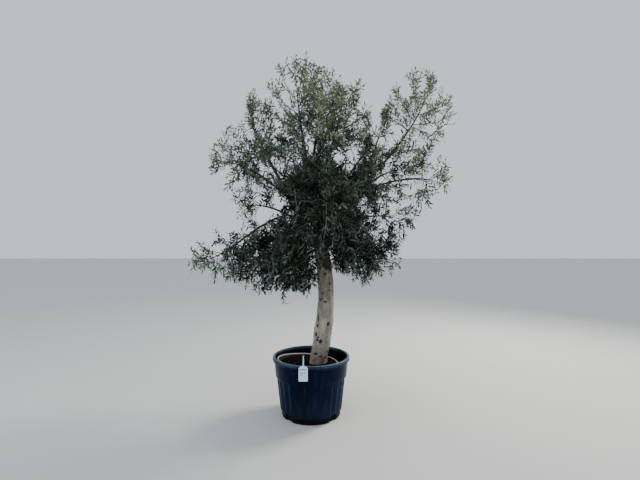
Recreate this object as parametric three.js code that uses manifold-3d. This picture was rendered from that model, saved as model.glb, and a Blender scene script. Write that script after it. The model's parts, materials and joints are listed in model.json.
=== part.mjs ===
// A standard olive tree in its nursery container, as a scene graph of closed solids.
// Millimetres, +Z up. The origin is the middle of the flat underside of the pot, +X is to the viewer's right
// and +Y points away from the viewer.
import * as THREE from 'three';
import { mergeVertices } from 'three/addons/utils/BufferGeometryUtils.js';
import Module from 'manifold-3d';

const wasm = await Module();
wasm.setup();

// Clearance between pieces that touch.
const CLEARANCE = 0.3;

// The container: a black nursery pot with a rolled lip, a collar, four raised grip bands and a set-back
// foot with a drainage notch under each band.
const POT = {
  height: 520, lipRadius: 350, lipDepth: 36, lipThickness: 20,
  collarTop: 334, collarFoot: 317, collarFootHeight: 305,
  bodyTop: 305, bodyFoot: 276, bodyFootHeight: 56,
  footRadius: 264, wall: 6, floor: 12, footWall: 24,
  sides: 36, bandProud: 5, bandHalfWidth: 10, notchWidth: 72, notchHeight: 62, notchDepth: 14,
};
const SOIL = {
  level: 443, gutterLevel: 414, seatRadius: 160, ballRadius: 257, gutterRadius: 295, roughness: 5, sides: 18,
};
// The rim of the smaller container that the root ball grew in, which stands a little askew in the soil.
const INNER_RIM = {
  radius: 273, bead: 6, wall: 4, depth: 60, footRadius: 262, sides: 24,
  offset: [-32, 0], level: 470, tiltX: -3.6, tiltY: 4.3,
};
// The hang tag, whose strap arches over the lip and is pushed into the soil.
const TAG = {
  x: -59, width: 86, height: 132, top: 517, thickness: 1.6, strapWidth: 11, shoulder: 22, corner: 8,
  strapTurn: 620, strapFoot: -236, pushedIn: 24, archSteps: 9,
};

// The trunk leans a little to the right and bows, from a flat cut on the soil to its fork.
const TRUNK = {
  foot: [56, 0], lean: [44, 24], bow: 57, forkHeight: 1440,
  radius: 77, forkRadius: 63, flare: 12, flareHeight: 45, swell: 8, swellHeight: 90, fluting: 0.035,
  sides: 12, steps: 11, crownSteps: 2, crownRise: 0.6,
};
// A limb starts on its parent's middle line at a slant, and its line runs on through its mass as the stem.
const LIMB = {
  slant: 0.36, lift: 0.55, run: 0.34, beyond: 0.2, taper: 0.8, tipRadius: 9, sides: 5, steps: 4,
};
const STEM = { sides: 3, steps: 2, inset: 14, lowestTwig: 0.25 };
// A twig leaves the stem for a point on the skin of its mass, and bends as it rises or hangs.
const TWIG = {
  radius: 4.5, tipRadius: 3.4, sides: 3, sag: 0.16, straight: 140, shortest: 50,
  bias: 0.35, back: 0.62, toSkin: 0.98,
};
// One leaf of the solids stands for a whole spray of the olive's own. Its length goes by the smallest reach
// of its mass, and a leaf that does not fit is tried smaller, then turned round the twig, then left out.
const LEAF = {
  ofReach: 0.9, slimness: 0.42, flatness: 0.036, widest: 0.42,
  sizes: [0.85, 1.05], smallest: 0.6, sizeStep: 0.1, spreads: [44, 60], turns: [0, 40, -40, 80],
  spacing: 0.5, first: 0.2, inPair: 0.35, pastTwig: 0.85, sunk: 6, rootRoom: 14, margin: 3,
};
const GOLDEN_ANGLE = Math.PI * (3 - Math.sqrt(5));
// Free space left between one mass and the next, and round every limb.
const MASS_GAP = 6;
const LIMB_GAP = 2;
// The first mass draws from this seed, and each one after it from the next.
const SEED = 1000;

// The masses of foliage. Each has its middle, its reach across, deep and tall from there, the limb that its
// own bough leaves and how far along it does, the bough's radius there, how much its twigs rise (below 0
// they hang) and how many twigs it has.
const MASSES = [
  mass('top_left', [-125, 0, 2850], [275, 290, 430], 'trunk', 0.97, 36, 0.9, 9),
  mass('top_right', [265, 40, 2730], [275, 290, 430], 'top_left', 0.4, 22, 0.8, 9),
  mass('top_front', [70, -390, 2560], [300, 260, 330], 'top_left', 0.6, 17, 0.5, 6),
  mass('top_back', [90, 420, 2640], [340, 280, 390], 'top_left', 0.5, 18, 0.6, 6),
  mass('left_shoulder', [-520, 0, 2590], [205, 240, 370], 'trunk', 0.95, 26, 0.9, 8),
  mass('left', [-690, -60, 2260], [260, 290, 260], 'left_shoulder', 0.55, 14, 0.1, 6),
  mass('left_low', [-490, -110, 1880], [280, 280, 240], 'left_shoulder', 0.3, 14, -0.1, 6),
  mass('skirt_left_tip', [-850, -60, 1420], [250, 260, 220], 'left_low', 0.85, 10, -0.3, 6),
  mass('skirt_left', [-430, -110, 1400], [270, 310, 310], 'left_shoulder', 0.12, 18, -0.4, 6),
  mass('front', [120, -500, 1840], [340, 290, 380], 'trunk', 0.96, 26, 0, 6),
  mass('skirt_front', [-150, -400, 1350], [230, 240, 300], 'front', 0.2, 14, -0.5, 6),
  mass('front_left', [-270, -420, 2130], [310, 280, 330], 'front', 0.4, 18, 0.3, 6),
  mass('front_right', [430, -400, 2250], [290, 270, 330], 'front', 0.5, 17, 0.3, 6),
  mass('right', [740, -40, 2200], [290, 300, 320], 'trunk', 0.98, 30, 0.1, 6),
  mass('skirt_right', [500, -100, 1480], [310, 320, 310], 'right', 0.16, 17, -0.4, 6),
  mass('right_low', [720, 60, 1790], [250, 260, 240], 'right', 0.4, 13, -0.2, 6),
  mass('right_spray', [1000, 0, 2740], [370, 280, 430], 'right', 0.75, 15, 0.8, 8),
  mass('right_tip', [1060, -40, 2120], [200, 220, 270], 'right', 0.9, 11, -0.2, 5),
  mass('right_shoulder', [640, 40, 2560], [190, 240, 340], 'right', 0.6, 13, 0.9, 5),
  mass('back', [60, 700, 2060], [340, 270, 380], 'trunk', 0.95, 26, 0.2, 6),
  mass('back_left', [-470, 430, 2190], [330, 310, 360], 'back', 0.45, 17, 0.3, 6),
  mass('back_right', [560, 480, 2170], [330, 310, 360], 'back', 0.55, 17, 0.3, 6),
  mass('skirt_back_left', [-330, 460, 1570], [350, 320, 340], 'back', 0.2, 15, -0.4, 6),
  mass('skirt_back_right', [420, 430, 1560], [350, 320, 340], 'back', 0.3, 15, -0.4, 6),
  mass('heart', [90, 60, 2040], [300, 280, 330], 'right', 0.28, 13, 0.4, 6),
];

// One entry of the list above, with the flat walls that will part it from its neighbours.
function mass(name, middle, reach, parent, along, radius, rise, twigs) {
  return {
    name, middle: new THREE.Vector3(...middle), reach: new THREE.Vector3(...reach), parent, along, radius,
    rise, twigs, walls: [], leafLength: LEAF.ofReach * Math.min(...reach),
  };
}

const MATERIALS = {
  potPlastic: new THREE.MeshStandardMaterial({ color: 0x0c1a2a, roughness: 0.42, metalness: 0 }),
  rimPlastic: new THREE.MeshStandardMaterial({ color: 0xa9a3a3, roughness: 0.45, metalness: 0 }),
  soil: new THREE.MeshStandardMaterial({ color: 0x1d1815, roughness: 0.95, metalness: 0 }),
  tagPlastic: new THREE.MeshStandardMaterial({ color: 0xdfe8ee, roughness: 0.5, metalness: 0 }),
  bark: new THREE.MeshStandardMaterial({ color: 0x85806f, roughness: 0.9, metalness: 0 }),
  foliage: new THREE.MeshStandardMaterial({ color: 0x46523f, roughness: 0.6, metalness: 0 }),
};

const radians = THREE.MathUtils.degToRad;
const lerp = THREE.MathUtils.lerp;

// The same draws every time, so the tree always grows the same way.
function seededRandom(seed) {
  let state = seed >>> 0;
  return () => {
    state = (state + 0x6d2b79f5) >>> 0;
    let mixed = Math.imul(state ^ (state >>> 15), state | 1);
    mixed ^= mixed + Math.imul(mixed ^ (mixed >>> 7), mixed | 61);
    return ((mixed ^ (mixed >>> 14)) >>> 0) / 4294967296;
  };
}

// A geometry as a solid that can be cut or joined.
function solidOf(geometry) {
  const bare = new THREE.BufferGeometry();
  bare.setAttribute('position', geometry.getAttribute('position').clone());
  if (geometry.index) bare.setIndex(geometry.index.clone());
  const merged = mergeVertices(bare, 1e-3);
  return new wasm.Manifold(new wasm.Mesh({
    numProp: 3,
    vertProperties: new Float32Array(merged.attributes.position.array),
    triVerts: new Uint32Array(merged.index.array),
  }));
}

function geometryOf(solid) {
  const mesh = solid.getMesh();
  return new THREE.BufferGeometry()
    .setAttribute('position', new THREE.BufferAttribute(new Float32Array(mesh.vertProperties), 3))
    .setIndex(new THREE.BufferAttribute(new Uint32Array(mesh.triVerts), 1));
}

function namedMesh(name, geometry, material) {
  geometry.computeVertexNormals();
  const mesh = new THREE.Mesh(geometry, material);
  mesh.name = name;
  return mesh;
}

// A closed skin over rings of points that all have the same number of corners.
function skinOver(rings) {
  const sides = rings[0].length;
  const last = (rings.length - 1) * sides;
  const corners = [];
  for (let ring = 0; ring < rings.length - 1; ring++) {
    for (let side = 0; side < sides; side++) {
      const a = ring * sides + side;
      const b = ring * sides + (side + 1) % sides;
      corners.push(a, b, b + sides, a, b + sides, a + sides);
    }
  }
  for (let side = 1; side < sides - 1; side++) {
    corners.push(0, side + 1, side, last, last + side, last + side + 1);
  }
  return new THREE.BufferGeometry().setFromPoints(rings.flat()).setIndex(corners);
}

// A limb: a closed skin over rings square to its line. Each station is a point, a direction and a radius.
function limbGeometry(stations, sides) {
  let across = new THREE.Vector3(0, 1, 0);
  if (Math.abs(stations[0].direction.y) > 0.9) across = new THREE.Vector3(1, 0, 0);
  const rings = stations.map(({ point, direction, radius }) => {
    across = across.clone().addScaledVector(direction, -across.dot(direction)).normalize();
    const third = direction.clone().cross(across);
    return Array.from({ length: sides }, (_, side) => {
      const angle = 2 * Math.PI * side / sides;
      return point.clone()
        .addScaledVector(across, radius * Math.cos(angle))
        .addScaledVector(third, radius * Math.sin(angle));
    });
  });
  return skinOver(rings);
}

// The pot's half section: out along the underside, up the outer wall, over the lip and down the inner wall.
function potProfile() {
  const { height, lipRadius, lipDepth, wall, floor, footWall, footRadius, bodyFoot, bodyFootHeight } = POT;
  const inner = lipRadius - POT.lipThickness - wall;
  return [
    [0, 0], [footRadius, 0], [footRadius + 3, bodyFootHeight - 8], [bodyFoot, bodyFootHeight],
    [POT.bodyTop, POT.collarFootHeight - 8], [POT.collarFoot, POT.collarFootHeight],
    [POT.collarTop, height - lipDepth], [lipRadius, height - lipDepth + 4], [lipRadius, height - 12],
    [lipRadius - 9, height], [inner + 3, height], [inner, height - 6],
    [innerWall(bodyFootHeight + 20), bodyFootHeight + 20], [footRadius - footWall, floor], [0, floor],
  ];
}

// The radius of the pot's tapering inside at a height.
function innerWall(height) {
  const top = POT.lipRadius - POT.lipThickness - POT.wall;
  const foot = POT.bodyFoot - POT.wall - 2;
  return lerp(foot, top, (height - POT.bodyFootHeight) / (POT.height - POT.bodyFootHeight));
}

// Turns a profile of [radius, height] pairs about the vertical axis.
function turned(profile, sides) {
  const outline = profile.map(([radius, height]) => new THREE.Vector2(radius, height));
  return new THREE.LatheGeometry(outline, sides).rotateX(Math.PI / 2);
}

// Moves each vertex of a geometry by a rule.
function reshape(geometry, move) {
  const position = geometry.getAttribute('position');
  const point = new THREE.Vector3();
  for (let i = 0; i < position.count; i++) {
    point.fromBufferAttribute(position, i);
    move(point);
    position.setXYZ(i, point.x, point.y, point.z);
  }
  return geometry;
}

// How far an angle is from the middle of the nearest grip band, in degrees.
function fromBand(angle) {
  const quarter = THREE.MathUtils.euclideanModulo(THREE.MathUtils.radToDeg(angle), 90);
  return Math.abs(quarter - 45);
}

// The pot, turned in one piece, with its bands pushed out and its notches cut.
function makePot() {
  const shell = reshape(turned(potProfile(), POT.sides), (point) => {
    const radius = Math.hypot(point.x, point.y);
    const onBody = point.z >= POT.bodyFootHeight - 1 && point.z < POT.collarFootHeight - 1;
    const outside = radius > innerWall(point.z) + 2;
    if (!onBody || !outside || fromBand(Math.atan2(point.y, point.x)) > POT.bandHalfWidth) return;
    const grown = (radius + POT.bandProud) / radius;
    point.x *= grown;
    point.y *= grown;
  });
  let pot = solidOf(shell);
  for (let corner = 0; corner < 4; corner++) {
    const angle = radians(45 + 90 * corner);
    const notch = new THREE.BoxGeometry(2 * POT.notchDepth, POT.notchWidth, 2 * POT.notchHeight)
      .rotateZ(angle)
      .translate(POT.footRadius * Math.cos(angle), POT.footRadius * Math.sin(angle), 0);
    pot = pot.subtract(solidOf(notch));
  }
  return namedMesh('pot', geometryOf(pot), MATERIALS.potPlastic);
}

// The bead and short wall of the inner rim, grown on every side by a clearance.
function innerRimSolid(grown) {
  const { radius, footRadius, bead, wall, depth, level, offset } = INNER_RIM;
  const outline = [
    [footRadius - wall - grown, -depth - grown], [footRadius + grown, -depth - grown],
    [radius + bead + grown, 0], [radius, bead + grown], [radius - wall - grown, 0],
  ];
  outline.push(outline[0]);
  const ring = turned(outline, INNER_RIM.sides)
    .rotateX(radians(INNER_RIM.tiltX))
    .rotateY(radians(INNER_RIM.tiltY))
    .translate(offset[0], offset[1], level);
  return solidOf(ring);
}

// The soil fills the pot: the old root ball stands a little proud, with a gutter of fresh soil round it, and
// it is rough but for a level seat under the trunk.
function makeSoil() {
  const side = (height) => innerWall(height) - CLEARANCE;
  const bend = POT.bodyFootHeight + 20;
  const { level, gutterLevel, seatRadius, ballRadius, gutterRadius } = SOIL;
  const rows = [
    [0, POT.floor + CLEARANCE], [POT.footRadius - POT.footWall - 2 * CLEARANCE, POT.floor + CLEARANCE],
    [side(bend), bend + 2 * CLEARANCE], [side(gutterLevel) - 1, gutterLevel], [gutterRadius, gutterLevel],
    [ballRadius, level - 4], [(ballRadius + seatRadius) / 2, level], [seatRadius, level], [0, level],
  ];
  const body = reshape(turned(rows, SOIL.sides), (point) => {
    const radius = Math.hypot(point.x, point.y);
    if (point.z < gutterLevel - 1 || radius < seatRadius + 1 || radius > gutterRadius + 1) return;
    const angle = Math.atan2(point.y, point.x);
    point.z += SOIL.roughness * Math.sin(3 * angle + radius / 40) * Math.cos(7 * angle);
  });
  const strapPocket = new THREE.BoxGeometry(
    TAG.strapWidth + 2 * CLEARANCE, TAG.thickness + 2 * CLEARANCE, 2 * (TAG.pushedIn + CLEARANCE),
  ).translate(TAG.x, TAG.strapFoot, SOIL.level);
  const soil = solidOf(body).subtract(innerRimSolid(CLEARANCE)).subtract(solidOf(strapPocket));
  return namedMesh('soil', geometryOf(soil), MATERIALS.soil);
}

function makeInnerRim() {
  return namedMesh('inner_rim', geometryOf(innerRimSolid(0)), MATERIALS.rimPlastic);
}

// The tag is one ribbon of changing width: up the plate, which hangs before the lip, and on as the strap,
// over the lip and down into the soil.
function makeTag() {
  const face = -(POT.lipRadius + 1 + TAG.thickness);
  const plateFoot = TAG.top - TAG.height;
  const shoulders = [0.5, 0.85, 1].map((up) => ({
    y: face,
    z: TAG.top - TAG.shoulder * (1 - up),
    width: lerp(TAG.strapWidth, TAG.width, Math.sqrt(1 - up * up)),
  }));
  const stations = [
    { y: face, z: plateFoot, width: TAG.width - 2 * TAG.corner },
    { y: face, z: plateFoot + TAG.corner, width: TAG.width },
    { y: face, z: TAG.top - TAG.shoulder, width: TAG.width },
    ...shoulders,
  ];
  const arch = new THREE.CubicBezierCurve3(
    new THREE.Vector3(0, face, TAG.top + TAG.strapWidth), new THREE.Vector3(0, face, TAG.strapTurn),
    new THREE.Vector3(0, TAG.strapFoot, TAG.strapTurn), new THREE.Vector3(0, TAG.strapFoot, SOIL.level + 15),
  );
  for (const { y, z } of arch.getPoints(TAG.archSteps)) stations.push({ y, z, width: TAG.strapWidth });
  stations.push({ y: TAG.strapFoot, z: SOIL.level - TAG.pushedIn, width: TAG.strapWidth });
  const half = TAG.thickness / 2;
  const rings = stations.map(({ y, z, width }, i) => {
    const before = stations[Math.max(i - 1, 0)];
    const after = stations[Math.min(i + 1, stations.length - 1)];
    const along = new THREE.Vector2(after.y - before.y, after.z - before.z).normalize();
    return [[-1, 1], [1, 1], [1, -1], [-1, -1]].map(([across, out]) => new THREE.Vector3(
      TAG.x + across * width / 2, y - along.y * out * half, z + along.x * out * half,
    ));
  });
  return namedMesh('tag', skinOver(rings), MATERIALS.tagPlastic);
}

// The trunk's middle line, radius and direction at a fraction of its height.
const trunkLimb = {
  tipAt: 1,
  pointAt: (t) => new THREE.Vector3(
    TRUNK.foot[0] + TRUNK.lean[0] * t + TRUNK.bow * Math.sin(Math.PI * t),
    TRUNK.foot[1] + TRUNK.lean[1] * t,
    lerp(SOIL.level + CLEARANCE, TRUNK.forkHeight, t),
  ),
  directionAt: (t) => new THREE.Vector3(
    TRUNK.lean[0] + TRUNK.bow * Math.PI * Math.cos(Math.PI * t),
    TRUNK.lean[1],
    TRUNK.forkHeight - SOIL.level,
  ).normalize(),
  radiusAt: (t) => {
    const height = t * (TRUNK.forkHeight - SOIL.level);
    const fromFork = TRUNK.forkHeight - SOIL.level - height;
    return lerp(TRUNK.radius, TRUNK.forkRadius, t * t)
      + TRUNK.flare * Math.exp(-height / TRUNK.flareHeight)
      + TRUNK.swell * Math.exp(-fromFork / TRUNK.swellHeight);
  },
};

// The rings are level, and the last few close in a low dome where the boughs part.
function trunkGeometry(grown) {
  const rings = [];
  for (let step = 0; step <= TRUNK.steps + TRUNK.crownSteps; step++) {
    const t = Math.min(1, step / TRUNK.steps);
    const over = Math.max(0, step - TRUNK.steps) / (TRUNK.crownSteps + 1);
    const middle = trunkLimb.pointAt(t);
    const full = trunkLimb.radiusAt(t) + grown;
    const radius = full * Math.cos(over * Math.PI / 2);
    middle.z += full * TRUNK.crownRise * Math.sin(over * Math.PI / 2);
    rings.push(Array.from({ length: TRUNK.sides }, (_, side) => {
      const angle = 2 * Math.PI * side / TRUNK.sides;
      const fluted = radius * (1 + TRUNK.fluting * Math.cos(3 * angle + 2 * t));
      return new THREE.Vector3(fluted * Math.cos(angle), fluted * Math.sin(angle), 0).add(middle);
    }));
  }
  return skinOver(rings);
}

// The line of a mass's own limb, from its parent's middle line to a little past the middle of the mass.
function growLimb(branch, limbs) {
  const parent = limbs.get(branch.parent);
  const footAt = branch.along * parent.tipAt;
  const foot = parent.pointAt(footAt);
  const outward = branch.middle.clone().sub(foot);
  const distance = outward.length();
  outward.normalize();
  const start = outward.clone().addScaledVector(parent.directionAt(footAt), LIMB.lift).normalize();
  const finish = new THREE.Vector3(outward.x, outward.y, 0)
    .multiplyScalar(1 - Math.abs(branch.rise) / 2)
    .add(new THREE.Vector3(0, 0, branch.rise))
    .normalize();
  const end = branch.middle.clone().addScaledVector(finish, LIMB.beyond * reachToward(branch, finish));
  const curve = new THREE.CubicBezierCurve3(
    foot, foot.clone().addScaledVector(start, LIMB.slant * distance),
    end.clone().addScaledVector(finish, -LIMB.run * distance), end,
  );
  const limb = {
    pointAt: (t) => curve.getPoint(t),
    directionAt: (t) => curve.getTangent(t),
    radiusAt: (t) => lerp(branch.radius, LIMB.tipRadius, t ** LIMB.taper),
    finish,
  };
  [limb.tipAt, limb.endAt] = spanInSpace(branch, limb);
  return limb;
}

// How far the ellipsoid of a mass reaches from its middle along a direction.
function reachToward({ reach }, direction) {
  return Math.hypot(reach.x * direction.x, reach.y * direction.y, reach.z * direction.z);
}

// Parts each pair of masses that would meet by a flat wall, so that each has a space of its own.
function partMasses(masses) {
  masses.forEach((one, i) => masses.slice(i + 1).forEach((other) => {
    const normal = other.middle.clone().sub(one.middle);
    const distance = normal.length();
    normal.normalize();
    const reachOne = reachToward(one, normal);
    const reachOther = reachToward(other, normal);
    if (reachOne + reachOther < distance) return;
    const share = THREE.MathUtils.clamp((distance + reachOne - reachOther) / (2 * distance), 0.25, 0.75);
    const wall = normal.dot(one.middle) + share * distance;
    one.walls.push({ normal, limit: wall - MASS_GAP / 2 });
    other.walls.push({ normal: normal.clone().negate(), limit: -wall - MASS_GAP / 2 });
  }));
}

function isInSpace({ middle, reach, walls }, point, inset = 0) {
  const from = point.clone().sub(middle);
  const within = reach.clone().subScalar(inset);
  return from.divide(within).length() <= 1
    && walls.every(({ normal, limit }) => normal.dot(point) <= limit - inset);
}

// Where a limb goes into its mass and where its stem ends there, as fractions of its line.
function spanInSpace(branch, limb) {
  const fineSteps = 200;
  const isIn = (step) => isInSpace(branch, limb.pointAt(step / fineSteps), STEM.inset);
  let entry = Math.round(fineSteps / (1 + LIMB.beyond));
  while (entry > 0 && isIn(entry - 1)) entry--;
  let end = entry;
  while (end < fineSteps && isIn(end + 1)) end++;
  return [entry / fineSteps, end / fineSteps];
}

function stationsOf(limb, from, to, steps) {
  return Array.from({ length: steps + 1 }, (_, step) => {
    const t = lerp(from, to, step / steps);
    return { point: limb.pointAt(t), direction: limb.directionAt(t), radius: limb.radiusAt(t) };
  });
}

// A leaf: a long flat double pyramid of eight faces from its root to its tip.
function leafGeometry(root, tip, side, face) {
  const middle = root.clone().lerp(tip, LEAF.widest);
  const widest = [side, face, side.clone().negate(), face.clone().negate()];
  const points = [root, tip, ...widest.map((out) => out.add(middle))];
  const corners = [2, 3, 4, 5].flatMap((corner, i, ring) => {
    const next = ring[(i + 1) % 4];
    return [0, corner, next, 1, next, corner];
  });
  return new THREE.BufferGeometry().setFromPoints(points).setIndex(corners);
}

// Points near a mass's skin that its twigs head for: they turn by the golden angle round the stem's own
// direction, from the far end of the mass back towards the bough, and lean up or down as the mass rises or
// hangs.
function twigGoals(branch, limb, random) {
  const turn = new THREE.Quaternion().setFromUnitVectors(new THREE.Vector3(0, 0, 1), limb.finish);
  const offset = random() * 2 * Math.PI;
  return Array.from({ length: branch.twigs }, (_, k) => {
    const height = 1 - (1 + TWIG.back) * k / (branch.twigs - 1);
    const width = Math.sqrt(1 - height * height);
    const angle = offset + k * GOLDEN_ANGLE;
    const heading = new THREE.Vector3(width * Math.cos(angle), width * Math.sin(angle), height)
      .applyQuaternion(turn);
    heading.z += TWIG.bias * branch.rise * (k === 0 ? 0 : 1);
    heading.normalize();
    heading.multiply(branch.reach);
    return { goal: branch.middle.clone().addScaledVector(heading, TWIG.toSkin), order: k };
  });
}

// Draws a goal back towards where the twig starts until it lies in the mass's own space.
function drawnIn(branch, start, goal) {
  for (let share = 1; share > 0; share -= 0.02) {
    const point = start.clone().lerp(goal, share);
    if (isInSpace(branch, point, LEAF.margin)) return point;
  }
  return start.clone();
}

// Whether a new leaf or twig meets what has grown so far only round its own root.
function meetsOnlyAtRoot(piece, grown, root) {
  const shared = piece.intersect(grown);
  if (shared.isEmpty()) return false;
  const { min, max } = shared.boundingBox();
  return [0, 1, 2].every((axis) => {
    const at = root.getComponent(axis);
    return at - min[axis] < LEAF.rootRoom && max[axis] - at < LEAF.rootRoom;
  });
}

// Grows the stem of a mass, its twigs and their leaves, and joins them into one solid.
function growMass(branch, limb, limbs, random) {
  const { tipAt, endAt } = limb;
  const stem = stationsOf(limb, tipAt, endAt, STEM.steps);
  stem[0].point.addScaledVector(stem[0].direction, CLEARANCE);
  let grown = largestOf(solidOf(limbGeometry(stem, STEM.sides)).subtract(limbs));
  for (const { goal, order } of twigGoals(branch, limb, random)) {
    const lowest = lerp(tipAt, endAt, STEM.lowestTwig);
    const root = limb.pointAt(lerp(endAt, lowest, order / (branch.twigs - 1)));
    const leafTip = drawnIn(branch, root, goal);
    const whole = leafTip.distanceTo(root);
    if (whole < 2 * TWIG.shortest) continue;
    const length = Math.max(TWIG.shortest, whole - branch.leafLength * LEAF.pastTwig);
    const twigEnd = root.clone().lerp(leafTip, length / whole);
    const bend = root.clone().lerp(twigEnd, 0.5);
    bend.z -= TWIG.sag * branch.rise * length;
    const line = new THREE.QuadraticBezierCurve3(root, bend, twigEnd);
    const twig = {
      pointAt: (t) => line.getPoint(t),
      directionAt: (t) => line.getTangent(t),
      radiusAt: (t) => lerp(TWIG.radius, TWIG.tipRadius, t),
    };
    if (![0.5, 1].every((t) => isInSpace(branch, twig.pointAt(t), TWIG.radius))) continue;
    const steps = length < TWIG.straight ? 1 : 2;
    const solid = solidOf(limbGeometry(stationsOf(twig, 0, 1, steps), TWIG.sides));
    if (!solid.intersect(limbs).isEmpty() || !meetsOnlyAtRoot(solid, grown, root)) continue;
    grown = growLeaves(branch, twig, length, grown.add(solid), limbs, random);
  }
  return grown;
}

// Opposite pairs of leaves along a twig, each pair a quarter turn on from the last, and one at its end.
function growLeaves(branch, twig, length, bare, limbs, random) {
  let grown = bare;
  const place = (t, heading, across, size) => {
    const root = twig.pointAt(t).addScaledVector(heading, t === 1 ? -LEAF.sunk : 0);
    for (let scale = size; scale > LEAF.smallest; scale -= LEAF.sizeStep) {
      const leafLength = scale * branch.leafLength;
      const tip = root.clone().addScaledVector(heading, leafLength);
      const side = across.clone().multiplyScalar(leafLength * LEAF.slimness / 2);
      const face = side.clone().cross(heading).setLength(leafLength * LEAF.flatness / 2);
      const middle = root.clone().lerp(tip, LEAF.widest);
      const outermost = [tip, middle.clone().add(side), middle.clone().sub(side)];
      if (!outermost.every((point) => isInSpace(branch, point, LEAF.margin))) continue;
      const leaf = solidOf(leafGeometry(root, tip, side, face));
      if (!leaf.intersect(limbs).isEmpty() || !meetsOnlyAtRoot(leaf, grown, root)) continue;
      grown = grown.add(leaf);
      return true;
    }
    return false;
  };
  const firstTurn = random() * Math.PI;
  const end = twig.directionAt(1);
  const endAcross = new THREE.Vector3(0, 0, 1).cross(end).normalize().applyAxisAngle(end, firstTurn);
  place(1, end, endAcross, 1);
  const pairs = Math.max(1, Math.round(length / (LEAF.spacing * branch.leafLength)));
  for (let pair = 0; pair < pairs; pair++) {
    const t = LEAF.first + (1 - LEAF.first) * (pair + LEAF.inPair) / pairs;
    const along = twig.directionAt(t);
    const outward = new THREE.Vector3(0, 0, 1).cross(along).normalize();
    outward.applyAxisAngle(along, firstTurn + pair * Math.PI / 2);
    const spread = radians(lerp(...LEAF.spreads, random()));
    const size = lerp(...LEAF.sizes, random());
    for (const side of [1, -1]) {
      LEAF.turns.some((turn) => {
        const away = outward.clone().multiplyScalar(side).applyAxisAngle(along, radians(turn));
        const heading = along.clone()
          .multiplyScalar(Math.cos(spread))
          .addScaledVector(away, Math.sin(spread));
        return place(t, heading, away.clone().cross(along), size);
      });
    }
  }
  return grown;
}

function largestOf(solid) {
  return solid.decompose().reduce((one, other) => (one.volume() > other.volume() ? one : other));
}

// The solid of a bough from its foot to its tip, grown all round by a clearance.
function boughSolid(limb, grown) {
  const stations = stationsOf(limb, 0, limb.tipAt, LIMB.steps);
  for (const station of stations) station.radius += grown;
  return solidOf(limbGeometry(stations, LIMB.sides));
}

// The trunk, then every bough, each cut clear of the limbs before it, then the foliage clear of them all.
function makeTree() {
  partMasses(MASSES);
  const limbs = new Map([['trunk', trunkLimb]]);
  const meshes = [namedMesh('trunk', trunkGeometry(0), MATERIALS.bark)];
  let taken = solidOf(trunkGeometry(CLEARANCE));
  let kept = solidOf(trunkGeometry(LIMB_GAP));
  for (const branch of MASSES) {
    const limb = growLimb(branch, limbs);
    limbs.set(branch.name, limb);
    const bough = largestOf(boughSolid(limb, 0).subtract(taken));
    taken = taken.add(boughSolid(limb, CLEARANCE * 1.25));
    kept = kept.add(boughSolid(limb, LIMB_GAP));
    meshes.push(namedMesh(`bough_${branch.name}`, geometryOf(bough), MATERIALS.bark));
  }
  MASSES.forEach((branch, i) => {
    const foliage = growMass(branch, limbs.get(branch.name), kept, seededRandom(SEED + i));
    meshes.push(namedMesh(`foliage_${branch.name}`, geometryOf(foliage), MATERIALS.foliage));
  });
  return meshes;
}

const tree = new THREE.Group();
tree.name = 'potted_olive_tree';
tree.add(makePot(), makeSoil(), makeInnerRim(), makeTag(), ...makeTree());

export default tree;
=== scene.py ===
"""A standard olive tree in its nursery pot: bark, twigs, leaves, pot, soil and tag over the plain solids."""

import functools
import json
import math

import bmesh
import bpy
import numpy as np
from bpy.props import FloatProperty, FloatVectorProperty, IntProperty, PointerProperty
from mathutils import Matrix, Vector, noise

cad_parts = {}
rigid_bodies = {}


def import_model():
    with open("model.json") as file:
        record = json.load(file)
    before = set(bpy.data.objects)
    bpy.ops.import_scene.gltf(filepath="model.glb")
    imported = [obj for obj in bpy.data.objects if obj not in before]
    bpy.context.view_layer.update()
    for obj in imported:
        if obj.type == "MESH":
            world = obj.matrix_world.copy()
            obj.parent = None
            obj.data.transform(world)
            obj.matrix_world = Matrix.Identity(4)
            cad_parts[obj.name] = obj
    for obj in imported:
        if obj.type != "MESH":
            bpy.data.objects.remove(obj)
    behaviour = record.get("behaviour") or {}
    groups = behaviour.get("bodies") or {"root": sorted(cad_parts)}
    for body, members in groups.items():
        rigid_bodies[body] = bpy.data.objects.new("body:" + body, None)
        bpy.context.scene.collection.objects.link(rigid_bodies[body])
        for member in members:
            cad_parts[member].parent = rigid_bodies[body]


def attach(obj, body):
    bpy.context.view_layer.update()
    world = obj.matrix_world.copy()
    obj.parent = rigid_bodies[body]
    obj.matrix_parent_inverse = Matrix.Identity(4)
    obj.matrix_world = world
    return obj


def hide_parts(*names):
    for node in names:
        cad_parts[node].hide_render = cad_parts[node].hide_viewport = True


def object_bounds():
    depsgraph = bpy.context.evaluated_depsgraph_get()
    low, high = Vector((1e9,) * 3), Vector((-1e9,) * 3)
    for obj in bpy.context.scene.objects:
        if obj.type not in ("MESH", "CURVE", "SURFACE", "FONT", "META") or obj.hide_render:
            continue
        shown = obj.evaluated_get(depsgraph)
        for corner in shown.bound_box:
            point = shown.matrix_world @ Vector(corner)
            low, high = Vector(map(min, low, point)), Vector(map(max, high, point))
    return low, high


bl_info = {
    "name": "Potted olive tree",
    "version": (1, 0, 0),
    "blender": (4, 5, 0),
    "location": "View3D > Sidebar > Olive tree",
    "description": "Grows bark, twigs and leaves on the limbs of a potted olive tree and dresses its pot",
    "category": "Object",
}

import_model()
CAD_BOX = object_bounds()
MM = 0.001
BODY = "root"
UP = np.array([0.0, 0.0, 1.0])
GOLDEN_ANGLE = math.pi * (3 - math.sqrt(5))

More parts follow.
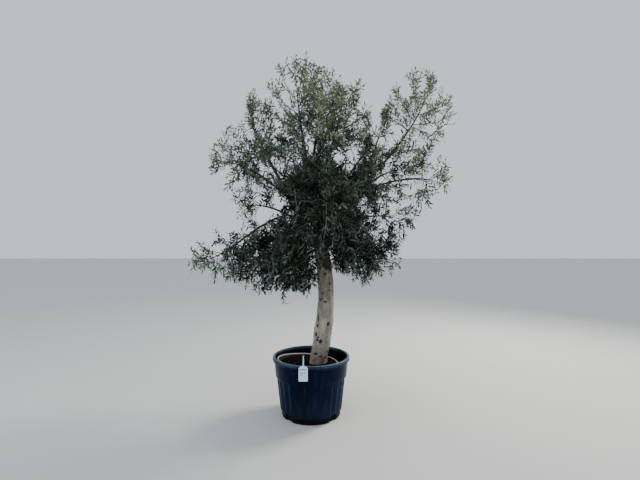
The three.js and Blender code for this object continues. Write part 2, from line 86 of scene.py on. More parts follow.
# The growing rule of the solids, in millimetres.
SOIL_LEVEL = 443.3
TRUNK = {
    "foot": (56, 0), "lean": (44, 24), "bow": 57, "fork": 1440,
    "radius": 77, "fork_radius": 63, "swell": 8, "swell_height": 90, "fluting": 0.035,
}
TRUNK_HEIGHT = TRUNK["fork"] - SOIL_LEVEL
LIMB = {"slant": 0.36, "lift": 0.55, "run": 0.34, "beyond": 0.2, "taper": 0.8, "tip_radius": 9}
STEM = {"inset": 14, "lowest_twig": 0.25}
TWIG = {"sag": 0.16, "shortest": 50, "bias": 0.35, "back": 0.62, "to_skin": 0.98}
MASS_GAP = 6
SEED = 1000

# The finer growth that only this script has, in millimetres: how far a twig of the solids ends inside its
# mass and a finer one may end outside it, how far leaves may reach past the solids' box, how far apart two
# masses may be with foliage between them, and how much of its reach a mass with a narrow top loses there.
TWIG_INSET, TWIG_STRAY = 18, 25
OVERHANG = 28
BETWEEN = 85
NARROWING = 0.42
NARROW_TOPS = ("left_shoulder", "right_spray", "right_shoulder")

# Where the camera stands, in millimetres. The crown is opened as it is seen from there.
CAMERA_HEIGHT, CAMERA_DISTANCE, CAMERA_SIDE = 1480, 3450, 80

# Each mass of foliage: its middle, its reach across, deep and tall, the limb that its bough leaves and how
# far along, the bough's radius there, how much its twigs rise (below 0 they hang) and their number.
MASSES = [
    ("top_left", (-125, 0, 2850), (275, 290, 430), "trunk", 0.97, 36, 0.9, 9),
    ("top_right", (265, 40, 2730), (275, 290, 430), "top_left", 0.4, 22, 0.8, 9),
    ("top_front", (70, -390, 2560), (300, 260, 330), "top_left", 0.6, 17, 0.5, 6),
    ("top_back", (90, 420, 2640), (340, 280, 390), "top_left", 0.5, 18, 0.6, 6),
    ("left_shoulder", (-520, 0, 2590), (205, 240, 370), "trunk", 0.95, 26, 0.9, 8),
    ("left", (-690, -60, 2260), (260, 290, 260), "left_shoulder", 0.55, 14, 0.1, 6),
    ("left_low", (-490, -110, 1880), (280, 280, 240), "left_shoulder", 0.3, 14, -0.1, 6),
    ("skirt_left_tip", (-850, -60, 1420), (250, 260, 220), "left_low", 0.85, 10, -0.3, 6),
    ("skirt_left", (-430, -110, 1400), (270, 310, 310), "left_shoulder", 0.12, 18, -0.4, 6),
    ("front", (120, -500, 1840), (340, 290, 380), "trunk", 0.96, 26, 0, 6),
    ("skirt_front", (-150, -400, 1350), (230, 240, 300), "front", 0.2, 14, -0.5, 6),
    ("front_left", (-270, -420, 2130), (310, 280, 330), "front", 0.4, 18, 0.3, 6),
    ("front_right", (430, -400, 2250), (290, 270, 330), "front", 0.5, 17, 0.3, 6),
    ("right", (740, -40, 2200), (290, 300, 320), "trunk", 0.98, 30, 0.1, 6),
    ("skirt_right", (500, -100, 1480), (310, 320, 310), "right", 0.16, 17, -0.4, 6),
    ("right_low", (720, 60, 1790), (250, 260, 240), "right", 0.4, 13, -0.2, 6),
    ("right_spray", (1000, 0, 2740), (370, 280, 430), "right", 0.75, 15, 0.8, 8),
    ("right_tip", (1060, -40, 2120), (200, 220, 270), "right", 0.9, 11, -0.2, 5),
    ("right_shoulder", (640, 40, 2560), (190, 240, 340), "right", 0.6, 13, 0.9, 5),
    ("back", (60, 700, 2060), (340, 270, 380), "trunk", 0.95, 26, 0.2, 6),
    ("back_left", (-470, 430, 2190), (330, 310, 360), "back", 0.45, 17, 0.3, 6),
    ("back_right", (560, 480, 2170), (330, 310, 360), "back", 0.55, 17, 0.3, 6),
    ("skirt_back_left", (-330, 460, 1570), (350, 320, 340), "back", 0.2, 15, -0.4, 6),
    ("skirt_back_right", (420, 430, 1560), (350, 320, 340), "back", 0.3, 15, -0.4, 6),
    ("heart", (90, 60, 2040), (300, 280, 330), "right", 0.28, 13, 0.4, 6),
]
MASS_NAMES = [row[0] for row in MASSES]

# Where the crown is open, as seen from the front at the trunk's depth: the middle's distance to the right
# and height, half the width and half the height in mm, and the share of shoots that is missing there.
OPENINGS = [
    (-1010, 2270, 90, 150, 1), (-685, 2835, 115, 185, 0.9), (-770, 1790, 210, 150, 0.95),
    (-700, 2080, 120, 50, 0.8), (-960, 1190, 180, 100, 0.9), (-230, 1000, 265, 135, 1),
    (-620, 1010, 200, 120, 0.7), (620, 2830, 80, 110, 0.9), (760, 2010, 170, 250, 0.6),
    (1080, 2330, 110, 60, 0.8), (1130, 1880, 150, 90, 0.8), (850, 1560, 90, 90, 0.6),
    (-400, 2790, 60, 130, 0.6), (391, 2386, 110, 90, 0.65), (-233, 2165, 110, 60, 0.6),
    (430, 1010, 160, 110, 1), (-390, 1860, 110, 90, 0.3), (600, 2590, 60, 170, 0.8),
    (790, 1720, 130, 110, 0.5), (-900, 1420, 210, 210, 0.4), (-720, 2260, 260, 230, 0.2),
    (-215, 3000, 105, 190, 0.8), (330, 3080, 110, 100, 0.9), (960, 3020, 110, 100, 0.6),
    (-510, 2680, 130, 190, 0.4), (-385, 2220, 110, 100, 0.8), (-410, 1890, 150, 220, 0.8),
    (330, 2330, 160, 130, 0.8), (700, 2490, 110, 65, 0.9), (740, 2290, 150, 150, 0.7),
    (1010, 2100, 140, 90, 0.85), (640, 1700, 150, 150, 0.75), (40, 2390, 110, 110, 0.75),
    (800, 1830, 110, 90, 0.85), (810, 2610, 90, 170, 0.45), (-150, 2800, 90, 80, 0.6),
    (-590, 2330, 90, 110, 0.5), (-400, 1740, 110, 90, 0.6), (1120, 2080, 110, 110, 0.8),
    (500, 1890, 80, 110, 0.7), (-250, 1930, 80, 80, 0.7), (-150, 3180, 90, 80, 0.7),
    (945, 2470, 60, 60, 0.6), (-640, 2500, 110, 80, 0.6), (680, 2150, 100, 80, 0.75),
    (393, 2160, 70, 70, 0.7), (-590, 2060, 110, 110, 0.6), (945, 1935, 70, 70, 0.7),
    (500, 1150, 130, 80, 0.8), (760, 1330, 120, 130, 0.55), (-270, 2800, 80, 110, 0.6),
]

# Old pruning wounds and knots of the trunk: height in mm, angle from the front towards the right in
# degrees, half width and half height in mm, and how deep they lie (below 0 they stand proud).
TRUNK_SCARS = [
    (858, -57, 9, 44, 11), (791, -54, 9, 19, 8), (710, -57, 15, 20, 7), (690, -36, 10, 9, 4),
    (655, -12, 17, 22, 8), (666, -38, 14, 12, 6), (809, 23, 13, 18, 8), (1026, -45, 12, 10, 4),
    (1010, -8, 14, 11, 4), (1036, -24, 8, 6, 3), (1084, -28, 10, 8, 3), (1113, 28, 11, 6, 3),
    (1171, 34, 11, 12, 4), (1259, 2, 15, 13, 5), (1340, -12, 34, 22, 4), (1325, 24, 38, 32, 7),
    (1305, 50, 20, 24, 5), (545, -32, 20, 12, 4), (520, 8, 15, 9, 4), (560, 55, 13, 14, 5),
    (505, 46, 17, 12, 4), (530, 78, 32, 62, 15), (762, -92, 27, 125, -20), (930, 140, 13, 16, 5),
    (700, 190, 16, 22, 6), (1120, 230, 12, 12, 5), (1000, -110, 10, 24, 5), (560, 120, 14, 14, 5),
    (850, 95, 9, 20, 5), (1220, 160, 18, 14, 5), (1290, -130, 20, 24, 6),
]
# Small knots strewn over the trunk, as the scars, each size drawn between two numbers.
SPECKS = {
    "seed": 5, "count": 120, "height": (480, 1330), "angle": (-180, 180), "half_width": (2.5, 6),
    "half_height": (2.5, 5.5), "depth": 2,
}
# The swelling of the trunk under its fork: height and half height in mm, and in metres how far it stands
# out and how much that varies. Its bark is darkened, as a burr and with painted shadow of the fork.
BURR = {"height": 1345, "half_height": 42, "out": 0.004, "uneven": 0.006}

# How many long bare shoots hang from these boughs, and from any other whose twigs don't rise.
HANGING = {"front": 40, "skirt_front": 26, "heart": 14, "left_low": 10, "skirt_left": 12, "skirt_right": 14}
HANGING_ELSEWHERE = 5

# The kinds of leaves: how much of the underside's silver the upper side has, brightness and warmth.
# Brightness and warmth are painted light and shade: the dark, cool kinds stand for painted shade and the
# bright, warm kinds for painted light.
LEAF_KINDS = {
    "shaded": (0.0, 0.18, -1.0), "dark": (0.0, 0.3, -0.85), "old": (0.0, 0.45, -0.6),
    "green": (0.05, 0.68, -0.15), "olive": (0.14, 1.3, 0.75), "grey": (0.36, 0.95, -0.3),
    "silver": (0.6, 1.95, 0.6), "young": (0.2, 2.6, 0.65),
}
OLD, OLIVE, GREY, SILVER, YOUNG = map(list(LEAF_KINDS).index, ("old", "olive", "grey", "silver", "young"))

# The crown's middle and reach in mm, and the heights between which it turns from low to middle, from middle
# to high, and from close to airy, all in mm. Beyond FAR_OUT from the middle it is airy too.
CROWN_MIDDLE, CROWN_REACH = (90, 60, 2050), (1000, 850, 1150)
CLOSE, LOW, HIGH, AIRY, FAR_OUT = (1500, 1750), (1500, 1950), (2150, 2550), (2250, 2850), (650, 1000)

# How light a spray is painted: the painted light that it gains on the way out of the crown and up, how much
# it varies, and the painted shade that it takes on low down and at the front. Each kind of leaf has one step
# of light, and some sprays at the top are young.
LIGHT = {"out": 0.58, "up": 0.34, "varied": 0.17, "varied_high": 0.08, "low": 0.28, "front": 0.24}
DARKEST, LIGHT_STEP = 0.1, 0.12
YOUNG_SPRAYS = {"light": 0.55, "out": 0.75, "share": 0.18}

# What dirt, wear and lichen turn the plain colours into, and the darker boughs. Some of them are painted
# light and shade: painted shade of the crown on the upper trunk, with some debris; painted reflections and
# highlights on the pot's streaks, ribs, lip and lip top; painted shade inside the pot and on the inner rim's
# wall.
STAINS_AND_PAINTED_LIGHT = {
    "lichen": (0.34, 0.33, 0.3), "bough": (0.05, 0.047, 0.036), "crown_shade_and_debris": (0.1, 0.079, 0.052),
    "reflection_streak": (0.005, 0.032, 0.07), "rib": (0.008, 0.042, 0.085), "lip": (0.045, 0.075, 0.11),
    "lip_top": (0.17, 0.2, 0.25), "dust": (0.02, 0.036, 0.05), "scuff": (0.05, 0.09, 0.13),
    "splash": (0.16, 0.15, 0.13), "pot_inside": (0.0022, 0.0024, 0.0035), "smear": (0.16, 0.11, 0.085),
    "wall_shade": (0.009, 0.007, 0.006), "fibre": (0.02, 0.012, 0.0075), "grit": (0.09, 0.08, 0.065),
}
# Heights in metres between which a material changes, on the trunk and on the pot.
ZONE = {
    "trunk_lowest": (0.45, 0.58), "trunk_low": (0.5, 0.8), "trunk_top": (1.0, 1.32), "fork": (1.29, 1.4),
    "pot_low": (0.03, 0.3), "lip": (0.487, 0.508), "lip_top": (0.512, 0.518),
}


# ---- sizes and colours -------------------------------------------------------------------------------------


def length(name, description, default_mm, low=0.1):
    """A size in metres, with its default given in millimetres."""
    return FloatProperty(
        name=name, description=description, default=default_mm * MM, min=low * MM, unit="LENGTH", precision=4,
    )


def tint(name, description, default):
    """A base colour, linear red, green and blue."""
    return FloatVectorProperty(
        name=name, description=description, default=default, size=3, min=0, max=1, subtype="COLOR",
    )


class CrownSizes(bpy.types.PropertyGroup):
    leaf_length: length("Leaf length", "Length of a full-grown leaf", 56)
    leaf_width: length("Leaf width", "Width of a full-grown leaf", 15.4)
    pair_spacing: length("Pair spacing", "Distance from one pair of leaves to the next along a shoot", 18.6)
    shoot_spacing: length("Shoot spacing", "Distance from one shoot to the next along a twig", 40)
    shoot_length: length("Shoot length", "Length of the longest shoots", 250)
    bough_spacing: length("Bough twig spacing", "Distance between the short twigs along a bough", 62)
    straggle: length("Straggle", "How far shoots may stray out of their mass", 32)
    twig_radius: length("Twig radius", "Radius of a twig where it leaves the stem", 4)
    shoot_radius: length("Shoot radius", "Radius of a shoot where it leaves the twig", 1.7)
    finer: IntProperty(name="Twigs per twig", description="How many twigs grow for each twig of the solids",
                       default=2, min=1, max=4)
    seed: IntProperty(name="Seed", description="Seed of the shoots and leaves", default=7, min=0)


class BarkSizes(bpy.types.PropertyGroup):
    voxel: length("Voxel", "Cell size that the limbs are joined with", 4.8, low=2)
    relief: length("Relief", "Height of the bark's ridges on the trunk", 2.6)
    lump: length("Lumps", "Height of the trunk's broad lumps", 5)


class PotSizes(bpy.types.PropertyGroup):
    rib_height: length("Rib height", "How far the grip ribs stand out", 5)
    rib_width: length("Rib width", "Half width of a grip rib", 7)
    notch_depth: length("Notch depth", "How far the drainage notches of the foot go in", 14)
    clod: length("Clod", "Height of the soil's clods", 7)
    chips: IntProperty(name="Chips", description="Number of loose chips on the soil", default=1500, min=0)


class Colours(bpy.types.PropertyGroup):
    leaf_upper: tint("Leaf, upper side", "Upper side of a leaf in full light", (0.034, 0.048, 0.018))
    leaf_under: tint("Leaf, underside", "Silvery underside of a leaf", (0.13, 0.165, 0.122))
    twig: tint("Twigs", "Bark of the twigs", (0.055, 0.047, 0.036))
    shoot: tint("Shoots", "Skin of this year's shoots", (0.2, 0.21, 0.13))
    bare_shoot: tint("Bare shoots", "Pale skin of the long hanging shoots", (0.3, 0.3, 0.22))
    bark: tint("Bark", "Smooth bark of the trunk", (0.39, 0.355, 0.285))
    bark_dark: tint("Bark, cracks", "Cracks, scars and shaded hollows of the bark", (0.035, 0.026, 0.018))
    bark_foot: tint("Bark, foot", "Reddish bark near the soil", (0.2, 0.1, 0.065))
    pot: tint("Pot", "Blue-black plastic of the pot", (0.0006, 0.0036, 0.02))
    # The rim's pale colour also stands in for a painted highlight along its bead.
    rim: tint("Inner rim", "Pale plastic of the inner rim", (0.5, 0.44, 0.43))
    soil: tint("Soil", "Dark compost", (0.0034, 0.0026, 0.0023))
    tag: tint("Tag", "Plastic of the hang tag", (0.6, 0.86, 1.0))
    print: tint("Tag print", "Generic print of the hang tag", (0.12, 0.16, 0.22))


class StageSettings(bpy.types.PropertyGroup):
    camera_height: length("Camera height", "Height of the camera over the floor", CAMERA_HEIGHT)
    camera_distance: length("Camera distance", "Distance from the camera to the pot's axis", CAMERA_DISTANCE)
    camera_side: length("Camera offset", "How far the camera stands to the right of the pot's axis",
                        CAMERA_SIDE)
    focal_px: FloatProperty(name="Focal length", default=375, min=50,
                            description="Focal length in pixels of an image of 640 pixels across")
    horizon_px: FloatProperty(name="Horizon", default=9.5,
                              description="How far the horizon lies below the middle of an image of 640 "
                              "pixels across, in pixels")
    floor: tint("Floor", "Pale floor", (0.62, 0.62, 0.6))
    sky: tint("Surround", "Pale surround", (0.82, 0.89, 0.98))


# ---- meshes ------------------------------------------------------------------------------------------------


def unit(vectors):
    """Vectors made one long."""
    return vectors / np.maximum(np.linalg.norm(vectors, axis=-1, keepdims=True), 1e-12)


def new_object(name, mesh):
    """An object at the origin, in the scene."""
    made = bpy.data.objects.new(name, mesh)
    bpy.context.scene.collection.objects.link(made)
    return made


def mesh_of(name, points, faces=(), edges=()):
    """A mesh from points, with faces or edges."""
    mesh = bpy.data.meshes.new(name)
    mesh.from_pydata([tuple(p) for p in points], [tuple(e) for e in edges], [tuple(f) for f in faces])
    mesh.validate()
    mesh.update()
    return mesh


def grid_faces(rows, columns):
    """Quads between rows of points, each row closed on itself."""
    faces = []
    for row in range(rows - 1):
        for column in range(columns):
            a, b = row * columns + column, row * columns + (column + 1) % columns
            faces.append((a, b, b + columns, a + columns))
    return faces


def tube(rings):
    """Points and faces of a closed skin over rings that all have the same number of points."""
    rows, columns = len(rings), len(rings[0])
    points = np.concatenate(rings)
    faces = grid_faces(rows, columns)
    faces.append(tuple(reversed(range(columns))))
    faces.append(tuple(range((rows - 1) * columns, rows * columns)))
    return points, faces


def lathe(profile, sides, move):
    """Points and faces of a closed turned shape. The profile's [radius, height] pairs start and end on the
    axis or close on themselves, and move(angle, radius, height) gives each point's own radius and height."""
    profile = np.asarray(profile, float)
    angle = np.linspace(0, 2 * math.pi, sides, endpoint=False)
    radius = np.repeat(profile[:, :1], sides, axis=1)
    height = np.repeat(profile[:, 1:], sides, axis=1)
    turn = np.broadcast_to(angle, radius.shape)
    radius, height = move(turn, radius, height)
    points = np.stack([radius * np.sin(turn), -radius * np.cos(turn), height], axis=-1).reshape(-1, 3)
    return points, grid_faces(len(profile), sides)


def join(parts):
    """Several (points, faces) as one."""
    points, faces, count = [], [], 0
    for these, their in parts:
        points.append(these)
        faces.extend(tuple(i + count for i in face) for face in their)
        count += len(these)
    return np.concatenate(points), faces


def cleaned(mesh, distance=1e-5):
    """Merges doubles and turns all faces outwards."""
    made = bmesh.new()
    made.from_mesh(mesh)
    bmesh.ops.remove_doubles(made, verts=made.verts, dist=distance)
    bmesh.ops.recalc_face_normals(made, faces=made.faces)
    made.to_mesh(mesh)
    made.free()
    return mesh


def applied(made):
    """Turns what an object's modifiers make into its own plain mesh."""
    graph = bpy.context.evaluated_depsgraph_get()
    graph.update()
    mesh = bpy.data.meshes.new_from_object(made.evaluated_get(graph))
    made.modifiers.clear()
    old, made.data = made.data, mesh
    bpy.data.meshes.remove(old)
    mesh.name = made.name
    return made


def smooth(mesh, angle=180):
    """Shades a mesh smooth, but for edges sharper than an angle in degrees."""
    mesh.shade_smooth()
    if angle < 180:
        mesh.set_sharp_from_angle(angle=math.radians(angle))
    return mesh


def write_values(mesh, **attributes):
    """Stores numbers at the points of a mesh, one attribute for each name."""
    for name, values in attributes.items():
        made = mesh.attributes.new(name, "FLOAT", "POINT")
        made.data.foreach_set("value", np.asarray(values, np.float32))


def drop_values(mesh, names):
    """Removes the attributes that only the Geometry Nodes needed."""
    for name in names:
        if name in mesh.attributes:
            mesh.attributes.remove(mesh.attributes[name])


def place(made, slot, *nodes):
    """Puts a finished piece on the plant's body, in place of solids."""
    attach(made, BODY)
    if nodes:
        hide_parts(*nodes)
    return made


def dressed(name, mesh, material, slot, *nodes):
    """Makes a mesh a finished piece, with its material and its place on the plant."""
    mesh.materials.append(material)
    return place(new_object(name, mesh), slot, *nodes)


# ---- materials ---------------------------------------------------------------------------------------------


class Signal:
    """A shader socket that sums and products can be written with."""

    def __init__(self, shader, socket):
        self.shader, self.socket = shader, socket

    def _math(self, operation, *values):
        return self.shader.node("ShaderNodeMath", {"operation": operation}, values)

    def __add__(self, other):
        return self._math("ADD", self, other)

    def __sub__(self, other):
        return self._math("SUBTRACT", self, other)

    def __rsub__(self, other):
        return self._math("SUBTRACT", other, self)

    def __mul__(self, other):
        return self._math("MULTIPLY", self, other)

    __radd__, __rmul__ = __add__, __mul__

    def above(self, low, high):
        """0 below low, 1 above high and smooth between them."""
        return self.shader.node(
            "ShaderNodeMapRange", {"interpolation_type": "SMOOTHSTEP"}, (self, low, high, 0.0, 1.0),
        )


class Shader:
    """A new material and the nodes of its surface."""

    def __init__(self, name):
        self.material = bpy.data.materials.new(name)
        self.material.use_nodes = True
        self.nodes = self.material.node_tree.nodes
        self.links = self.material.node_tree.links
        self.surface = self.nodes["Principled BSDF"]

    def node(self, kind, settings=None, values=(), output=0):
        """Adds a node, sets it, feeds its inputs and returns one of its outputs."""
        made = self.nodes.new(kind)
        for key, value in (settings or {}).items():
            setattr(made, key, value)
        pairs = values.items() if isinstance(values, dict) else enumerate(values)
        for key, value in pairs:
            self.feed(made.inputs[key], value)
        return Signal(self, made.outputs[output])

    def feed(self, socket, value):
        """Links a signal to a socket, or sets the socket's own value."""
        if isinstance(value, Signal):
            self.links.new(value.socket, socket)
        elif value is not None:
            socket.default_value = value

    def where(self, stretch=(1, 1, 1)):
        """Object coordinates in metres, stretched along the axes."""
        plain = self.node("ShaderNodeTexCoord", output="Object")
        return self.node("ShaderNodeMapping", values={"Vector": plain, "Scale": stretch})

    def noise(self, scale, detail=4.0, roughness=0.55, stretch=(1, 1, 1), distortion=0.0):
        """A cloudy pattern from 0 to 1."""
        return self.node("ShaderNodeTexNoise", values={
            "Vector": self.where(stretch), "Scale": scale, "Detail": detail, "Roughness": roughness,
            "Distortion": distortion,
        })

    def cells(self, scale):
        """Distances in a pattern of cells."""
        values = {"Vector": self.where(), "Scale": scale}
        return self.node("ShaderNodeTexVoronoi", values=values, output="Distance")

    def attribute(self, name):
        """The numbers that the mesh stores under a name."""
        return self.node("ShaderNodeAttribute", {"attribute_name": name}, output="Fac")

    def mix(self, share, one, other):
        """One colour turning into another as share goes from 0 to 1."""
        one, other = (c if isinstance(c, Signal) else (*c, 1.0) for c in (one, other))
        return self.node("ShaderNodeMix", {"data_type": "RGBA"}, {0: share, 6: one, 7: other}, output=2)

    def zone(self, name):
        """0 below a zone of heights, 1 above it."""
        plain = self.node("ShaderNodeTexCoord", output="Object")
        return self.node("ShaderNodeSeparateXYZ", values=(plain,), output="Z").above(*ZONE[name])

    def bump(self, height, distance):
        """A bump of that many metres."""
        return self.node("ShaderNodeBump", values={"Height": height, "Distance": distance, "Strength": 1.0})

    def finish(self, colour, roughness, normal=None, shine=0.5):
        """Feeds the surface and returns the material."""
        colour = colour if isinstance(colour, Signal) else (*colour, 1.0)
        fed = {"Base Color": colour, "Roughness": roughness, "Normal": normal, "Specular IOR Level": shine}
        for name, value in fed.items():
            self.feed(self.surface.inputs[name], value)
        return self.material


def shade(colour, factor):
    """A colour made lighter or darker."""
    return tuple(min(1.0, c * factor) for c in colour)


def blend(one, other, share):
    """A colour part of the way to another."""
    return tuple(a + (b - a) * share for a, b in zip(one, other))


def warmed(colour, warmth):
    """A colour turned towards olive yellow, or towards blue where the warmth is below 0."""
    return blend(colour, (colour[0] * 1.4, colour[1] * 1.15, colour[2] * 0.65), warmth)


def bark_material(colours):
    """Pale olive bark: grey-beige, mottled, finely cracked, dark in its scars and reddish near the soil, with
    darker boughs and painted shade on the upper trunk, at the fork and on the burr.
    """
    s = Shader("olive_bark")
    pale, dark, foot = (tuple(c) for c in (colours.bark, colours.bark_dark, colours.bark_foot))
    mottle = s.noise(9, 5, 0.6, (1, 1, 0.45))
    blotch = s.noise(26, 4, 0.65, (1, 1, 0.6), 0.4)
    grooves = s.noise(34, 3, 0.5, (1, 1, 0.2), 0.6)
    cracks = grooves.above(0.462, 0.492) * (1 - grooves.above(0.492, 0.522))
    grain = s.noise(240, 3, 0.7, (1, 1, 0.3))
    scar, age = s.attribute("scar"), s.attribute("age")
    colour = s.mix(mottle.above(0.38, 0.6), shade(pale, 0.54), shade(pale, 1.18))
    colour = s.mix(blotch.above(0.56, 0.74) * 0.6, colour, blend(pale, STAINS_AND_PAINTED_LIGHT["lichen"], 0.7))
    # The boughs are much darker than the trunk.
    colour = s.mix((1 - age) * 0.92, colour, blend(dark, STAINS_AND_PAINTED_LIGHT["bough"], 0.7))
    low = 1 - s.zone("trunk_low")
    colour = s.mix(low * (0.3 + 0.5 * mottle.above(0.4, 0.62)), colour, blend(shade(pale, 0.45), foot, 0.25))
    lowest = 1 - s.zone("trunk_lowest")
    colour = s.mix(lowest * (0.1 + 0.8 * blotch.above(0.46, 0.6)), colour, foot)
    # Painted shade of the crown over the upper trunk, in blotches, with some leaf debris.
    top = s.zone("trunk_top")
    colour = s.mix(top * (0.4 + 0.5 * blotch.above(0.42, 0.58)), colour, STAINS_AND_PAINTED_LIGHT["crown_shade_and_debris"])
    # Painted shade at the fork, deep among the leaves.
    colour = s.mix(s.zone("fork") * 0.85, colour, shade(dark, 1.2))
    specks = s.noise(95, 3, 0.6, (1, 1, 0.7)).above(0.585, 0.66)
    colour = s.mix(specks * (0.6 + 0.25 * low), colour, shade(dark, 1.6))
    colour = s.mix(cracks * 0.34 * mottle.above(0.36, 0.6), colour, shade(dark, 1.8))
    # The scars' own dark, and painted shadow of the fork over the burr.
    colour = s.mix((scar + 0.5 * grain - 0.25).above(0.25, 0.85), colour, dark)
    relief = grain * 0.5 + (1 - cracks) * 0.5 + blotch * 0.6
    return s.finish(colour, 0.78 + 0.16 * mottle, s.bump(relief, 0.0022))


def pot_material(colours):
    """Blow-moulded plastic: blue-black, with a fine grain, scuffs and dust that gathers towards the foot,
    painted reflections in streaks, on the ribs and on the lip, a painted highlight along the lip's top and
    painted shade inside.
    """
    s = Shader("pot_plastic")
    base = tuple(colours.pot)
    flow = s.noise(5, 4, 0.55, (1, 1, 0.35))
    streaks = s.noise(24, 4, 0.7, (1, 1, 0.12))
    scuffs = s.noise(60, 5, 0.75, (1, 1, 0.5)).above(0.62, 0.78)
    low = 1 - s.zone("pot_low")
    splash = s.noise(130, 3, 0.6).above(0.66, 0.72)
    # Painted reflection on the lip, patchy with the flow.
    painted_lip_reflection = s.zone("lip") * (0.2 + 0.75 * flow.above(0.4, 0.6))
    colour = s.mix(flow.above(0.35, 0.7), shade(base, 0.55), shade(base, 1.5))
    for share, overlay in (
        # Painted reflections in bluish streaks.
        (streaks.above(0.5, 0.74) * 0.5, "reflection_streak"),
        # Painted highlights on the ribs.
        (s.attribute("rib") * (0.3 + 0.7 * streaks.above(0.4, 0.58)), "rib"),
        (painted_lip_reflection, "lip"),
        # Painted highlight along the lip's top.
        (s.zone("lip_top") * (0.4 + 0.4 * scuffs), "lip_top"),
        (low * (0.08 + 0.22 * streaks), "dust"),
        (scuffs * 0.12, "scuff"),
        (splash * low * 0.4, "splash"),
        # Painted shade inside the pot.
        (s.attribute("inside") * 0.8, "pot_inside"),
    ):
        colour = s.mix(share, colour, STAINS_AND_PAINTED_LIGHT[overlay])
    roughness = 0.24 + 0.1 * flow + 0.2 * scuffs + 0.14 * low
    grain = s.noise(420, 2, 0.5)
    return s.finish(colour, roughness, s.bump(grain * 0.3 + flow * 2.0, 0.0012), shine=0.06)


def rim_material(colours):
    """Thin pale plastic, soiled by the compost. Its paleness also stands in for a painted highlight along the
    bead, and the wall under the bead has painted shade.
    """
    s = Shader("rim_plastic")
    base = tuple(colours.rim)
    dirt = s.noise(28, 5, 0.7)
    colour = s.mix(dirt.above(0.5, 0.72) * 0.4, base, STAINS_AND_PAINTED_LIGHT["smear"])
    # Painted shade on the wall under the bead, in the dark of the soil.
    colour = s.mix((1 - s.attribute("bead")) * (0.92 + 0.08 * dirt), colour, STAINS_AND_PAINTED_LIGHT["wall_shade"])
    return s.finish(colour, 0.42 + 0.3 * dirt, s.bump(dirt, 0.0008), shine=0.2)


def soil_material(colours):
    """Moist compost, nearly black, with brown fibre in it."""
    s = Shader("compost")
    base = tuple(colours.soil)
    clods = s.noise(45, 6, 0.7)
    crumbs = s.cells(190)
    fibre = s.noise(160, 4, 0.7, (1, 0.25, 1))
    colour = s.mix(clods.above(0.4, 0.7), shade(base, 0.5), shade(base, 2.0))
    colour = s.mix(fibre.above(0.6, 0.72) * 0.4, colour, STAINS_AND_PAINTED_LIGHT["fibre"])
    colour = s.mix(s.noise(300, 2).above(0.7, 0.74) * 0.3, colour, STAINS_AND_PAINTED_LIGHT["grit"])
    return s.finish(colour, 0.8 + 0.18 * clods, s.bump(clods + crumbs * 0.6, 0.004), shine=0.03)


def chip_material(name, colour):
    """A chip of bark, root or pumice."""
    s = Shader(name)
    grain = s.noise(400, 3, 0.7)
    mixed = s.mix(grain, shade(colour, 0.6), shade(colour, 1.3))
    return s.finish(mixed, 0.85, s.bump(grain, 0.0006), shine=0.15)


def tag_material(colours):
    """Smooth card-like plastic with a faint mottle and worn edges."""
    s = Shader("tag_plastic")
    base = tuple(colours.tag)
    wear = s.noise(70, 4, 0.6)
    colour = s.mix(wear.above(0.5, 0.8) * 0.3, base, shade(base, 0.72))
    return s.finish(colour, 0.38 + 0.2 * wear, s.bump(wear, 0.0002))


def print_material(colours):
    """Thin grey-blue ink."""
    s = Shader("tag_print")
    base = tuple(colours.print)
    worn = s.noise(500, 3, 0.7)
    return s.finish(s.mix(worn.above(0.45, 0.75) * 0.5, base, shade(base, 2.6)), 0.6)


def twig_material(name, colour):
    """Bark of twigs and shoots, lighter and darker along them."""
    s = Shader(name)
    patches = s.noise(34, 4, 0.65)
    rings = s.noise(420, 3, 0.6)
    mixed = s.mix(patches.above(0.35, 0.7), shade(colour, 0.62), shade(colour, 1.3))
    return s.finish(mixed, 0.75, s.bump(rings, 0.0005))


def leaf_material(name, colour, roughness, shine):
    """One plain leaf colour. Leaves differ by the spray that they belong to."""
    return Shader(name).finish(colour, roughness, shine=shine)


def floor_material(settings):
    """Pale, even, matt floor."""
    s = Shader("studio_floor")
    base = tuple(settings.floor)
    return s.finish(s.mix(s.noise(3, 3), shade(base, 0.97), shade(base, 1.02)), 0.9)


# ---- the growing rule --------------------------------------------------------------------------------------


def seeded(seed):
    """The same draws from 0 to 1 as the solids use."""
    state = seed & 0xFFFFFFFF

    def draw():
        nonlocal state
        state = (state + 0x6D2B79F5) & 0xFFFFFFFF
        mixed = ((state ^ (state >> 15)) * (state | 1)) & 0xFFFFFFFF
        mixed ^= (mixed + (((mixed ^ (mixed >> 7)) * (mixed | 61)) & 0xFFFFFFFF)) & 0xFFFFFFFF
        return ((mixed ^ (mixed >> 14)) & 0xFFFFFFFF) / 4294967296

    return draw


class Bezier:
    """A smooth line through its control points, quadratic or cubic."""

    def __init__(self, *control):
        self.control = [np.asarray(c, float) for c in control]

    def at(self, t):
        level = list(self.control)
        t = np.asarray(t, float)[..., None]
        while len(level) > 1:
            level = [a + (b - a) * t for a, b in zip(level, level[1:])]
        return level[0]

    def along(self, t):
        step = 1e-4
        t = np.clip(np.asarray(t, float), step, 1 - step)
        return unit(self.at(t + step) - self.at(t - step))


